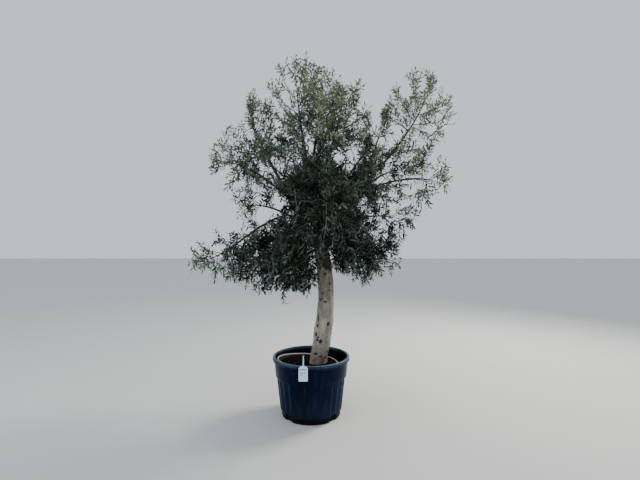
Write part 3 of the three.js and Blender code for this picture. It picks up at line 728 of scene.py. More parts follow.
class Trunk:
    """The trunk's middle line, direction and radius at a share of its height, in millimetres."""

    tip_at = 1.0

    def at(self, t):
        t = np.asarray(t, float)
        return np.stack([
            TRUNK["foot"][0] + TRUNK["lean"][0] * t + TRUNK["bow"] * np.sin(math.pi * t),
            TRUNK["foot"][1] + TRUNK["lean"][1] * t,
            SOIL_LEVEL + TRUNK_HEIGHT * t,
        ], axis=-1)

    def along(self, t):
        t = np.asarray(t, float)
        sideways = TRUNK["lean"][0] + TRUNK["bow"] * math.pi * np.cos(math.pi * t)
        return unit(np.stack([
            sideways, np.full_like(sideways, TRUNK["lean"][1]), np.full_like(sideways, TRUNK_HEIGHT),
        ], axis=-1))

    def radius(self, t):
        t = np.asarray(t, float)
        below_fork = TRUNK_HEIGHT - t * TRUNK_HEIGHT
        return (TRUNK["radius"] + (TRUNK["fork_radius"] - TRUNK["radius"]) * t * t
                + TRUNK["swell"] * np.exp(-below_fork / TRUNK["swell_height"]))

    def from_middle(self, points):
        """How far points in millimetres lie from the middle of the trunk at their own height."""
        return points - self.at(np.clip((points[:, 2] - SOIL_LEVEL) / TRUNK_HEIGHT, 0, 1))


def drawn_back(start, goal, step, fits):
    """The goal, drawn back by steps of its distance until it fits, or the start where nothing does."""
    points = start + (goal - start) * np.arange(1, 0, -step)[:, None]
    held = np.flatnonzero(fits(points))
    return points[held[0]] if len(held) else start


def near_solids(points):
    """Whether points in millimetres reach no more than an overhang past the solids' box."""
    low, high = (np.array(corner) / MM for corner in CAD_BOX)
    return np.all((points > low - OVERHANG) & (points < high + OVERHANG), axis=-1)


class Mass:
    """A mass of foliage: its own space and the limb that grows into it."""

    def __init__(self, name, middle, reach, parent, along, radius, rise, twigs):
        self.name, self.parent, self.share, self.foot_radius = name, parent, along, radius
        self.middle, self.reach = np.array(middle, float), np.array(reach, float)
        self.rise, self.twigs, self.walls = rise, twigs, []

    def reach_toward(self, direction):
        """How wide the space is from its middle in a direction."""
        return np.linalg.norm(self.reach * direction)

    def holds(self, points, inset):
        """Whether points lie in the space, an inset inside its skin and walls."""
        points = np.asarray(points, float)
        held = np.linalg.norm((points - self.middle) / (self.reach - inset), axis=-1) <= 1
        for normal, limit in self.walls:
            held &= points @ normal <= limit - inset
        return held

    def draw_in(self, start, goal, inset):
        """The goal, drawn back towards the start until it lies in the space."""
        return drawn_back(start, goal, 0.02, lambda points: self.holds(points, inset) & near_solids(points))

    def grow_limb(self, limbs):
        """Lays the mass's limb, from its parent's middle line to a little past the mass's own middle."""
        parent = limbs[self.parent]
        foot_at = self.share * parent.tip_at
        foot = parent.at(foot_at)
        away = self.middle - foot
        distance = np.linalg.norm(away)
        away = away / distance
        start = unit(away + parent.along(foot_at) * LIMB["lift"])
        finish = np.array([away[0], away[1], 0]) * (1 - abs(self.rise) / 2) + UP * self.rise
        self.finish = unit(finish)
        end = self.middle + self.finish * LIMB["beyond"] * self.reach_toward(self.finish)
        self.line = Bezier(foot, foot + start * LIMB["slant"] * distance,
                           end - self.finish * LIMB["run"] * distance, end)
        steps = 200
        inside = self.holds(self.line.at(np.arange(steps + 1) / steps), STEM["inset"])
        entry = round(steps / (1 + LIMB["beyond"]))
        while entry > 0 and inside[entry - 1]:
            entry -= 1
        last = entry
        while last < steps and inside[last + 1]:
            last += 1
        self.tip_at, self.end_at = entry / steps, last / steps
        limbs[self.name] = self

    def at(self, t):
        return self.line.at(t)

    def along(self, t):
        return self.line.along(t)

    def radius(self, t):
        tapered = np.asarray(t, float) ** LIMB["taper"]
        return self.foot_radius + (LIMB["tip_radius"] - self.foot_radius) * tapered

    def goals(self, finer, draw):
        """Where on the limb each twig starts and where it heads for. Every finer-th is the solids' own."""
        turn = rotation(unit(np.cross(UP, self.finish)), math.acos(np.clip(UP @ self.finish, -1, 1)))
        offset = draw() * 2 * math.pi
        lowest = self.tip_at + (self.end_at - self.tip_at) * STEM["lowest_twig"]
        found = []
        for step in range(finer * (self.twigs - 1) + 1):
            k = step / finer
            height = 1 - (1 + TWIG["back"]) * k / (self.twigs - 1)
            width = math.sqrt(max(0.0, 1 - height * height))
            angle = offset + k * GOLDEN_ANGLE
            heading = turn @ np.array([width * math.cos(angle), width * math.sin(angle), height])
            heading[2] += TWIG["bias"] * self.rise * (k > 0)
            heading = unit(heading) * self.reach * TWIG["to_skin"]
            start_at = self.end_at + (lowest - self.end_at) * k / (self.twigs - 1)
            found.append((start_at, self.middle + heading))
        return found


def rotation(axis, angle):
    """The matrix that turns about an axis."""
    x, y, z = axis
    skew = np.array([[0, -z, y], [z, 0, -x], [-y, x, 0]])
    return np.eye(3) + math.sin(angle) * skew + (1 - math.cos(angle)) * skew @ skew


def part_masses(masses):
    """Parts each pair of masses that would meet by a flat wall."""
    for i, one in enumerate(masses):
        for other in masses[i + 1:]:
            normal = other.middle - one.middle
            distance = np.linalg.norm(normal)
            normal = normal / distance
            here, there = one.reach_toward(normal), other.reach_toward(normal)
            if here + there < distance:
                continue
            share = min(0.75, max(0.25, (distance + here - there) / (2 * distance)))
            wall = normal @ one.middle + share * distance
            one.walls.append((normal, wall - MASS_GAP / 2))
            other.walls.append((-normal, -wall - MASS_GAP / 2))


@functools.lru_cache(maxsize=1)
def grown_limbs():
    """The trunk and every mass with its limb, by name."""
    masses = [Mass(*row) for row in MASSES]
    part_masses(masses)
    limbs = {"trunk": Trunk()}
    for mass in masses:
        mass.grow_limb(limbs)
    return limbs


def ramp(value, low, high):
    """0 at or below low, 1 at or above high and even between them."""
    return float(np.clip((value - low) / (high - low), 0, 1))


class Strand:
    """A twig or shoot: points along it, its radius at each and the mass that it belongs to."""

    def __init__(self, points, radii, mass):
        self.points, self.radii, self.mass = points, radii, mass
        steps = np.linalg.norm(np.diff(points, axis=0), axis=1)
        self.reached = np.concatenate([[0], np.cumsum(steps)])
        self.length = self.reached[-1]

    def at(self, distance):
        """Points at distances along the strand, and the directions there."""
        step = self.length * 0.02 + 1e-6
        ahead, behind = np.minimum(distance + step, self.length), np.maximum(distance - step, 0)
        return self.spot(distance), unit(self.spot(ahead) - self.spot(behind))

    def spot(self, distance):
        """Points at distances along the strand."""
        rows = [np.interp(distance, self.reached, self.points[:, axis]) for axis in range(3)]
        return np.stack(rows, axis=-1)

    def spot_and_heading(self, distance):
        """One point at a distance along the strand, and the direction there."""
        spot, heading = self.at(np.array([distance]))
        return spot[0], heading[0]


def wavy(line, steps, sway, random):
    """Points along a line, swaying a little from side to side but fixed at its root."""
    t = np.linspace(0, 1, steps + 1)
    points = line.at(t)
    phase = random.uniform(0, 2 * math.pi, 3)
    for axis in range(3):
        points[:, axis] += sway * t * np.sin(2.6 * math.pi * t * (1 + 0.2 * axis) + phase[axis])
    return points


def square_to(along):
    """Two directions square to a strand's own and to each other, the first of them level."""
    across = unit(np.cross(UP, along) + 1e-6)
    return across, np.cross(along, across)


def branched(along, side, spread):
    """The direction that leaves a strand's own by an angle, to one side."""
    return along * math.cos(spread) + side * math.sin(spread)


def crown_holds(points, slack):
    """Whether points lie in the crown: a slack past the space of one mass, or between two masses. Some
    masses run out to a narrower top."""
    points = np.asarray(points, float)
    held, near = np.zeros(points.shape[:-1], bool), np.zeros(points.shape[:-1], int)
    for name, middle, reach, *_ in MASSES:
        away = points - np.array(middle, float)
        narrow = 1 - NARROWING * (name in NARROW_TOPS) * np.clip(away[..., 2:] / reach[2], 0, 1)
        away = away / np.concatenate([narrow, narrow, np.ones_like(narrow)], axis=-1)
        held |= np.linalg.norm(away / (np.array(reach) + slack), axis=-1) <= 1
        near += np.linalg.norm(away / (np.array(reach) + BETWEEN), axis=-1) <= 1
    return (held | (near >= 2)) & near_solids(points)


def open_share(points):
    """How much of the foliage is missing at points, seen from where the camera stands."""
    points = np.asarray(points, float)
    nearer = CAMERA_DISTANCE / (CAMERA_DISTANCE + points[..., 1])
    right = CAMERA_SIDE + (points[..., 0] - CAMERA_SIDE) * nearer
    height = CAMERA_HEIGHT + (points[..., 2] - CAMERA_HEIGHT) * nearer
    missing = np.zeros(points.shape[:-1])
    for x, z, wide, high, share in OPENINGS:
        inside = ((right - x) / wide) ** 2 + ((height - z) / high) ** 2 < 1
        missing = np.maximum(missing, share * inside)
    return missing


def drawn_into_crown(start, goal, slack, missing):
    """The goal, drawn back towards the start until it lies in the crown, where less than that is missing."""

    def fits(points):
        return crown_holds(points, slack) & (open_share(points) < missing)

    return drawn_back(start, goal, 0.05, fits)


def grow_twigs(mass, draw, sizes, random):
    """The twigs of one mass: the solids' own and the finer ones between them."""
    twigs = []
    segment, slack = 45, 10
    for step, (start_at, goal) in enumerate(mass.goals(sizes.finer, draw)):
        root = mass.at(start_at)
        own = step % sizes.finer == 0
        if not own:
            goal = root + (goal - root) * random.uniform(0.8, 1.12)
        goal = mass.draw_in(root, goal, TWIG_INSET if own else -TWIG_STRAY)
        tip = drawn_into_crown(root, goal, slack, random.uniform(0.3, 1.0))
        reach = np.linalg.norm(tip - root)
        if reach < 1.4 * TWIG["shortest"]:
            continue
        bend = (root + tip) / 2 - UP * TWIG["sag"] * mass.rise * reach
        points = wavy(Bezier(root, bend, tip), max(4, round(reach / segment)), 0.03 * reach, random)
        thick = min(sizes.twig_radius / MM, 0.75 * float(mass.radius(start_at)))
        taper = np.linspace(1, 0.45, len(points)) * min(1.0, 0.55 + reach / 700)
        twigs.append(Strand(points, thick * taper, mass))
    return twigs


def grow_bough_twigs(limb, sizes, random):
    """Short twigs that fill the crown between the masses, along all of a bough but its foot."""
    middles = limb.at(np.linspace(0, limb.tip_at, 30))
    bough_length = np.linalg.norm(np.diff(middles, axis=0), axis=1).sum()
    count = int(bough_length / (sizes.bough_spacing / MM))
    shortest, slack, steps, bare_foot = 110, 10, 6, 0.1
    twigs = []
    for step in range(count):
        share = limb.tip_at * (bare_foot + (1 - bare_foot) * (step + random.uniform(0.1, 0.9)) / count)
        root, along = limb.at(share), limb.along(share)
        across, over = square_to(along)
        angle = step * GOLDEN_ANGLE + random.normal(0, 0.3)
        side = across * math.cos(angle) + over * math.sin(angle)
        spread = math.radians(random.uniform(35, 75))
        heading = unit(branched(along, side, spread) + UP * (0.35 if step % 2 else -0.3))
        goal = root + heading * random.uniform(180, 420)
        tip = drawn_into_crown(root, goal, slack, random.uniform(0.05, 1.0))
        reach = np.linalg.norm(tip - root)
        if reach < shortest:
            continue
        line = Bezier(root, (root + tip) / 2 + along * 0.12 * reach, tip)
        thick = min(sizes.twig_radius / MM, 0.6 * float(limb.radius(share)))
        radii = thick * np.linspace(0.8, 0.35, steps + 1)
        twigs.append(Strand(wavy(line, steps, 0.04 * reach, random), radii, limb))
    return twigs


def grow_hanging(twigs, count, random):
    """Long thin shoots, nearly bare, that rise a little from their twigs and then hang."""
    steps, arch, slack = 8, 30, 60
    radii = np.linspace(2.2, 1.0, steps + 1)
    hanging = []
    for _ in range(count):
        twig = twigs[random.integers(len(twigs))]
        root, along = twig.spot_and_heading(twig.length * random.uniform(0.15, 0.95))
        side = along * random.uniform(20, 110) + random.normal(0, 30, 3)
        drop = UP * random.uniform(200, 480)
        line = Bezier(root, root + side * 1.1 + UP * arch, root + side * 1.25 - drop * 0.5,
                      root + side * 1.1 - drop)
        if crown_holds(line.at(1), slack):
            hanging.append(Strand(wavy(line, steps, 0.04 * drop[2], random), radii, twig.mass))
    return hanging


def grow_shoots(twig, sizes, random):
    """This year's shoots along a twig, in pairs that turn a quarter each time. They stand further apart high
    up and far out, and closer together low down."""
    rise = twig.mass.rise
    out_x, out_y, top = twig.points[-1] - (CROWN_MIDDLE[0], 0, 0)
    airy = ramp(top, *AIRY)
    loose = max(airy, ramp(math.hypot(out_x, out_y), *FAR_OUT))
    dense = (1 - ramp(top, *CLOSE)) * (1 - loose)
    spacing = sizes.shoot_spacing / MM * (1 + 0.75 * loose - 0.22 * dense)
    count = max(3, int(twig.length * 0.9 / spacing))
    turn = random.uniform(0, 2 * math.pi)
    longest = sizes.shoot_length / MM
    missing, shortest, steps = 0.12, 45, 3
    shoots = []
    for step in range(count):
        distance = twig.length * (0.1 + 0.88 * (step + random.uniform(0.2, 0.8)) / count)
        root, along = twig.spot_and_heading(distance)
        across, over = square_to(along)
        for half in (0, math.pi):
            if random.uniform() < missing:
                continue
            angle = turn + step * math.pi / 2 + half + random.normal(0, 0.35)
            spread = math.radians(random.uniform(28, 58))
            side = across * math.cos(angle) + over * math.sin(angle)
            heading = unit(branched(along, side, spread) + UP * (0.3 + 0.4 * airy) * rise)
            size = longest * random.uniform(0.4, 1.0) ** 1.2
            slack = sizes.straggle / MM * random.uniform(-0.5, 1) ** 3
            tip = drawn_into_crown(root, root + heading * size, slack, random.uniform(0.02, 1.0))
            reach = np.linalg.norm(tip - root)
            if reach < shortest:
                continue
            lift = UP * reach * (0.1 * rise - 0.06 - random.uniform(0, 0.08))
            bend = (root + tip) / 2 - lift + along * 0.1 * reach
            points = wavy(Bezier(root, bend, tip), steps, 0.025 * reach, random)
            thick = sizes.shoot_radius / MM * (0.7 + 0.5 * reach / longest)
            shoots.append(Strand(points, thick * np.linspace(1, 0.45, steps + 1), twig.mass))
    return shoots


def leaves_on(strand, bare, sizes, random):
    """Opposite leaves along a strand, past its bare foot, and one at its tip. Rows of a root, a heading, the
    direction of the upper side, a length and a width."""
    spacing = sizes.pair_spacing / MM * random.uniform(0.85, 1.3)
    pairs = max(2, int(strand.length * (1 - bare) / spacing))
    distance = strand.length * (bare + (1 - bare) * (np.arange(pairs) + 0.6) / pairs)
    root, along = strand.at(distance)
    across, over = square_to(along)
    angle = random.uniform(0, 2 * math.pi) + np.arange(pairs) * math.pi / 2 + random.normal(0, 0.2, pairs)
    distance, root, along, across, over, angle = (
        np.concatenate([x, x]) for x in (distance, root, along, across, over, angle))
    angle[pairs:] += math.pi
    count = 2 * pairs
    away = across * np.cos(angle)[:, None] + over * np.sin(angle)[:, None]
    spread = np.radians(random.uniform(32, 70, count))[:, None]
    droop = UP * random.uniform(0, 0.25, count)[:, None]
    heading = unit(along * np.cos(spread) + away * np.sin(spread) - droop)
    upper = along - heading * np.sum(along * heading, axis=1, keepdims=True)
    upper = unit(upper + UP * 0.35 + random.normal(0, 0.5, (count, 3)))
    upper = unit(upper - heading * np.sum(upper * heading, axis=1, keepdims=True))
    share = distance / strand.length
    full_long, full_wide = sizes.leaf_length / MM, sizes.leaf_width / MM
    long = full_long * random.uniform(0.72, 1.08, count) * (1 - 0.3 * np.maximum(share - 0.7, 0) / 0.3)
    wide = full_wide * long / full_long * random.uniform(0.8, 1.12, count)
    rows = np.concatenate([root, heading, upper, long[:, None], wide[:, None]], axis=1)
    end_root, end_along = strand.at(np.array([strand.length * 0.99]))
    end_upper = unit(UP - end_along * (end_along @ UP)[:, None])
    end = np.concatenate([end_root, end_along, end_upper, [[full_long * 0.8, full_wide * 0.75]]], axis=1)
    rows = np.concatenate([rows, end])
    tips = rows[:, :3] + rows[:, 3:6] * rows[:, 9:10]
    slack, fallen = sizes.straggle / MM + 15, 0.05
    return rows[crown_holds(tips, slack) & (random.uniform(size=len(rows)) > fallen)]


def kind_of(strand, random):
    """Which kind of leaf a spray has: darker with painted shade deep in the crown, low down and at the front,
    paler with painted light and younger outside.
    """
    tip = strand.points[-1]
    out = np.linalg.norm((tip - CROWN_MIDDLE) / CROWN_REACH)
    high = ramp(tip[2], *HIGH)
    light = LIGHT["out"] * out + LIGHT["up"] * (tip[2] - 1200) / 2000
    light += random.normal(0, LIGHT["varied"] + LIGHT["varied_high"] * high)
    light -= LIGHT["low"] * (1 - ramp(tip[2], *LOW))
    light -= LIGHT["front"] * (1 - high) * ramp(-tip[1], 0, 600)
    outside = light > YOUNG_SPRAYS["light"] and out > YOUNG_SPRAYS["out"]
    if outside and random.uniform() < YOUNG_SPRAYS["share"] * high:
        return YOUNG
    kind = int(np.clip((light - DARKEST) / LIGHT_STEP, 0, SILVER))
    if kind in (OLIVE, GREY):
        return OLIVE if random.uniform() < high else GREY
    return kind


@functools.lru_cache(maxsize=1)
def grown_crown():
    """All twigs, shoots and hanging shoots, and the leaves of each kind."""
    sizes = bpy.context.scene.olive_crown
    twigs, shoots, hanging = [], [], []
    leaves = [[] for _ in LEAF_KINDS]
    limbs = grown_limbs()

    def dress(strand, bare):
        leaves[kind_of(strand, random)].append(leaves_on(strand, bare, sizes, random))

    for i, name in enumerate(MASS_NAMES):
        mass = limbs[name]
        random = np.random.default_rng([sizes.seed, i])
        stem_at = np.linspace(mass.tip_at - 0.02, mass.end_at, 7)
        twigs.append(Strand(mass.at(stem_at), mass.radius(stem_at) * np.linspace(0.98, 0.5, 7), mass))
        grown = grow_twigs(mass, seeded(SEED + i), sizes, random)
        grown += grow_bough_twigs(mass, sizes, random)
        twigs.extend(grown)
        for shoot in grow_hanging(grown, HANGING.get(name, HANGING_ELSEWHERE * (mass.rise <= 0)), random):
            hanging.append(shoot)
            dress(shoot, 0.55)
        for twig in grown:
            dress(twig, 0.6)
            for shoot in grow_shoots(twig, sizes, random):
                shoots.append(shoot)
                dress(shoot, 0.12)
    return twigs, shoots, hanging, [np.concatenate(rows) for rows in leaves]


# ---- Geometry Nodes ----------------------------------------------------------------------------------------


def node_group(name, **inputs):
    """An empty geometry tree with named inputs of the given socket types."""
    tree = bpy.data.node_groups.new(name, "GeometryNodeTree")
    tree.interface.new_socket("Geometry", in_out="OUTPUT", socket_type="NodeSocketGeometry")
    for label, kind in {"Geometry": "Geometry", **inputs}.items():
        tree.interface.new_socket(label, in_out="INPUT", socket_type=f"NodeSocket{kind}")
    return tree


def add_node(tree, kind, values, **settings):
    """Adds a node to a geometry tree, sets it, feeds its inputs and returns its output that is in use."""
    made = tree.nodes.new(kind)
    for key, value in settings.items():
        setattr(made, key, value)
    for key, value in values.items():
        if isinstance(value, bpy.types.NodeSocket):
            tree.links.new(value, made.inputs[key])
        else:
            made.inputs[key].default_value = value
    return next((socket for socket in made.outputs if socket.enabled), None)


def named(tree, attribute, kind):
    """The value of a named attribute."""
    return add_node(tree, "GeometryNodeInputNamedAttribute", {"Name": attribute}, data_type=kind)


def finish_tree(tree, geometry, *coats):
    """Ends a tree in real geometry with its materials, and returns it. Each coat says a material, and which
    faces have it where that isn't all of them."""
    geometry = add_node(tree, "GeometryNodeRealizeInstances", {"Geometry": geometry})
    for coat in coats:
        geometry = add_node(tree, "GeometryNodeSetMaterial", {"Geometry": geometry, **coat})
    add_node(tree, "NodeGroupOutput", {"Geometry": geometry})
    return tree


def run_nodes(made, tree, values):
    """Runs a geometry tree on an object with these inputs, and keeps the result as its plain mesh."""
    modifier = made.modifiers.new(tree.name, "NODES")
    modifier.node_group = tree
    for item in tree.interface.items_tree:
        if item.item_type == "SOCKET" and item.in_out == "INPUT" and item.name in values:
            modifier[item.identifier] = values[item.name]
    applied(made)
    bpy.data.node_groups.remove(tree)
    return made


def strand_tree(name):
    """Tubes along edges, as thick as the points' thickness attribute says."""
    tree = node_group(name, Sides="Int", Material="Material")
    given = tree.nodes.new("NodeGroupInput").outputs
    curves = add_node(tree, "GeometryNodeMeshToCurve", {"Mesh": given["Geometry"]})
    section = add_node(tree, "GeometryNodeCurvePrimitiveCircle", {
        "Resolution": given["Sides"], "Radius": 1.0,
    }, mode="RADIUS")
    skin = add_node(tree, "GeometryNodeCurveToMesh", {
        "Curve": curves, "Profile Curve": section, "Fill Caps": True,
        "Scale": named(tree, "thickness", "FLOAT"),
    })
    return finish_tree(tree, skin, {"Material": given["Material"]})


def scatter_tree(name, two_sided):
    """Copies of one shape on points, headed and scaled by the points' attributes."""
    inputs = {"Shape": "Object", "Material": "Material"}
    if two_sided:
        inputs["Underside"] = "Material"
    tree = node_group(name, **inputs)
    given = tree.nodes.new("NodeGroupInput").outputs
    shape = tree.nodes.new("GeometryNodeObjectInfo")
    tree.links.new(given["Shape"], shape.inputs["Object"])
    heading = add_node(tree, "FunctionNodeAxesToRotation", {
        "Primary Axis": named(tree, "heading", "FLOAT_VECTOR"),
        "Secondary Axis": named(tree, "upper", "FLOAT_VECTOR"),
    }, primary_axis="Y", secondary_axis="Z")
    copies = add_node(tree, "GeometryNodeInstanceOnPoints", {
        "Points": given["Geometry"], "Instance": shape.outputs["Geometry"], "Rotation": heading,
        "Scale": named(tree, "size", "FLOAT_VECTOR"),
    })
    coats = [{"Material": given["Material"]}]
    if two_sided:
        coats.append({"Material": given["Underside"], "Selection": named(tree, "underside", "BOOLEAN")})
    return finish_tree(tree, copies, *coats)


def scattered(name, points, attributes, shape, material, underside=None):
    """A piece made of copies of a shape. Each attribute has a row of three numbers per point."""
    mesh = mesh_of(name, points)
    for label, rows in attributes.items():
        mesh.attributes.new(label, "FLOAT_VECTOR", "POINT").data.foreach_set(
            "vector", np.ascontiguousarray(rows, dtype=np.float32).ravel())
    made = new_object(name, mesh)
    values = {"Shape": shape, "Material": material}
    if underside:
        values["Underside"] = underside
    run_nodes(made, scatter_tree(name, underside is not None), values)
    drop_values(made.data, [*attributes, "underside"])
    return made


def stranded(name, strands, sides, material):
    """A piece made of tubes along strands."""
    points = np.concatenate([s.points for s in strands]) * MM
    radii = np.concatenate([s.radii for s in strands]) * MM
    edges, first = [], 0
    for strand in strands:
        edges.extend((first + i, first + i + 1) for i in range(len(strand.points) - 1))
        first += len(strand.points)
    mesh = mesh_of(name, points, edges=edges)
    write_values(mesh, thickness=radii)
    made = new_object(name, mesh)
    run_nodes(made, strand_tree(name), {"Sides": sides, "Material": material})
    drop_values(made.data, ("thickness", "radius"))
    smooth(made.data)
    return made


# ---- the trunk and boughs ----------------------------------------------------------------------------------


def limb_rings(limb, shares, sides):
    """Rings of points square to a limb's line, in millimetres."""
    rings = []
    across = np.array([0.0, 1.0, 0.0])
    angle = np.linspace(0, 2 * math.pi, sides, endpoint=False)
    for t in shares:
        middle, along, radius = limb.at(t), limb.along(t), float(limb.radius(t))
        across = unit(across - along * (across @ along))
        over = np.cross(along, across)
        x, y = radius * np.cos(angle)[:, None], radius * np.sin(angle)[:, None]
        rings.append(middle + across * x + over * y)
    return rings


def level_ring(middle, radius, angle):
    """A level ring of points, with one radius or a radius for each."""
    return middle + np.stack([radius * np.cos(angle), radius * np.sin(angle), np.zeros_like(angle)], axis=-1)


def trunk_rings(trunk):
    """Level rings up the trunk from a little way down in the soil, closing in a low dome at the fork."""
    sides, levels, in_soil = 48, 60, 0.012
    angle = np.linspace(0, 2 * math.pi, sides, endpoint=False)
    rings = []
    for t in np.concatenate([[-in_soil], np.linspace(0, 1, levels)]):
        fluted = float(trunk.radius(max(t, 0))) * (1 + TRUNK["fluting"] * np.cos(3 * angle + 2 * t))
        fluted = fluted * (1 + 0.012 * np.cos(5 * angle - 3 * t) + 0.02 * np.cos(2 * angle + 7 * t))
        rings.append(level_ring(trunk.at(t), fluted, angle))
    top, full = trunk.at(1.0), float(trunk.radius(1.0))
    for rise in (0.25, 0.5, 0.75, 0.93):
        lifted = top + UP * full * 0.6 * math.sin(rise * math.pi / 2)
        rings.append(level_ring(lifted, full * math.cos(rise * math.pi / 2), angle))
    return rings


def bark_mesh(sizes):
    """The trunk and every bough joined into one skin."""
    trunk, *boughs = grown_limbs().values()
    rows, sides, overlap = 16, 16, 0.01
    parts = [tube(trunk_rings(trunk))]
    for bough in boughs:
        parts.append(tube(limb_rings(bough, np.linspace(0, bough.tip_at + overlap, rows), sides)))
    points, faces = join(parts)
    made = new_object("trunk_and_boughs", cleaned(mesh_of("trunk_and_boughs", points * MM, faces)))
    remesh = made.modifiers.new("Join", "REMESH")
    remesh.mode, remesh.voxel_size, remesh.adaptivity = "VOXEL", sizes.voxel, 0.0
    soften = made.modifiers.new("Soften", "SMOOTH")
    soften.factor, soften.iterations = 0.5, 5
    return applied(made)


def scar_depths(points, trunk):
    """How deep each point lies in one of the scars, 0 to 1 for its colour, and how far the scars push it out.
    """
    height = points[:, 2] / MM
    from_middle = trunk.from_middle(points / MM)
    angle = np.degrees(np.arctan2(from_middle[:, 0], -from_middle[:, 1]))
    mark, push = np.zeros(len(points)), np.zeros(len(points))
    random = np.random.default_rng(SPECKS["seed"])
    specks = [(*(random.uniform(*SPECKS[key]) for key in ("height", "angle", "half_width", "half_height")),
               SPECKS["depth"]) for _ in range(SPECKS["count"])]
    for at_height, at_angle, half_width, half_height, depth in TRUNK_SCARS + specks:
        side = np.radians((angle - at_angle + 180) % 360 - 180)
        away = np.hypot(side * TRUNK["radius"] / half_width, (height - at_height) / half_height)
        ragged = min(1.0, 14 / half_height)
        away = away + ragged * 0.22 * np.sin(side * 11 + height * 0.31)
        away = away + ragged * 0.18 * np.sin(height * 0.83 + angle)
        hollow = np.exp(-(away ** 2) * 1.3)
        lip = np.exp(-((away - 1.5) ** 2) * 4)
        push += -depth * hollow + 0.3 * abs(depth) * lip
        if depth > 0:
            mark = np.maximum(mark, np.clip(2 * hollow * ragged ** 0.4, 0, 1))
    near = height < TRUNK["fork"] - 20
    return mark * near, push * near


def add_relief(made, sizes):
    """Moves the skin out and in by the bark's lumps, ridges, cracks and scars."""
    mesh, trunk = made.data, grown_limbs()["trunk"]
    count = len(mesh.vertices)
    points, normals = np.empty(count * 3, np.float32), np.empty(count * 3, np.float32)
    mesh.vertices.foreach_get("co", points)
    mesh.vertex_normals.foreach_get("vector", normals)
    points, normals = (x.reshape(-1, 3).astype(float) for x in (points, normals))
    height = points[:, 2] / MM
    off_axis = np.linalg.norm(trunk.from_middle(points / MM)[:, :2], axis=1)
    under_fork = np.clip((TRUNK["fork"] + 60 - height) / 120, 0, 1)
    on_trunk = under_fork * np.clip((130 - off_axis) / 30, 0, 1)
    lumps, ridges = np.empty(count), np.empty(count)
    for i, (x, y, z) in enumerate(points):
        lumps[i] = noise.fractal(Vector((x * 11, y * 11, z * 5)), 1.0, 2.0, 2)
        ridges[i] = noise.fractal(Vector((x * 70, y * 70, z * 16)), 0.9, 2.1, 3)
    mark, push = scar_depths(points, trunk)
    burr = np.exp(-((height - BURR["height"]) / BURR["half_height"]) ** 2) * on_trunk
    out = lumps * sizes.lump * (0.25 + 0.75 * on_trunk) + ridges * sizes.relief * (0.3 + 0.7 * on_trunk)
    out += push * MM + burr * (BURR["out"] + BURR["uneven"] * lumps)
    points += normals * out[:, None]
    mesh.vertices.foreach_set("co", points.astype(np.float32).ravel())
    # The colour mark holds the scars' own dark and, on the burr, painted shadow of the fork.
    write_values(mesh, scar=np.maximum(mark, np.clip(burr * (0.55 + 0.8 * ridges), 0, 1)), age=on_trunk)
    mesh.update()


# ---- the pot -----------------------------------------------------------------------------------------------

# The pot's wall from the middle of its underside up the outside, over the lip and down the inside to the
# floor: radius and height in millimetres, the first OUTSIDE_ROWS of them outside.
POT_PROFILE = [
    (0.01, 0), (120, 0), (240, 0), (256, 0), (262, 2), (264, 8), (264.6, 20), (265.4, 34), (266.2, 46),
    (268, 50), (273, 52), (276, 57), (278, 72), (281.6, 100), (285, 130), (288.6, 160), (292.2, 190),
    (295.8, 220), (299.4, 250), (304.2, 290), (308.2, 323), (310.3, 338), (311.2, 343), (314, 346),
    (318, 347), (320.6, 349), (321.7, 353), (323.4, 372), (325.6, 394), (328.8, 428), (331.6, 458),
    (333, 474), (334, 479), (337, 481), (342.5, 481.5), (347, 484), (349.6, 489), (350, 497), (349.4, 506),
    (347.2, 513), (343.2, 517.8), (338, 520), (332.6, 519.6), (328.2, 517), (325.6, 512), (324.4, 505),
    (322, 488), (317.4, 455), (311.8, 415), (304, 360), (294.2, 290), (284.4, 220), (274.6, 150),
    (264.4, 78), (252, 30), (240, 13), (120, 12), (0.01, 12),
]
OUTSIDE_ROWS = 44
POT_SIDES = 480
RIB_ANGLES = np.array([sign * a for a in (36, 48, 60, 72, 108, 120, 132, 144) for sign in (1, -1)])
RIB_FOOT, RIB_TOP = (62, 18), (343, 14)
# The notches of the foot, four of them: their half width in degrees and how sharp their sides are, and
# their top.
NOTCH = {"half_width": 7.6, "sharpness": 3, "top": (60, 8)}
# The smooth panels at the front, back and sides: how deep they lie, their half width in degrees, the height
# of their lower edge in the middle and how much higher it is at the corners, and their top.
PANEL = {"depth": 2.2, "half_width": 31.5, "foot": 96, "corner": 70, "top": 337}


def rib_share(degrees, radius, height, sizes):
    """How much of a rib's height each point of the pot's body has."""
    arc = np.abs((degrees[..., None] - RIB_ANGLES + 180) % 360 - 180).min(axis=-1)
    across = np.radians(arc) * radius / (sizes.rib_width / MM)
    (foot, foot_run), (top, top_run) = RIB_FOOT, RIB_TOP
    body = np.clip((height - foot) / foot_run, 0, 1) * np.clip((top - height) / top_run, 0, 1)
    return np.exp(-(across ** 4)) * body


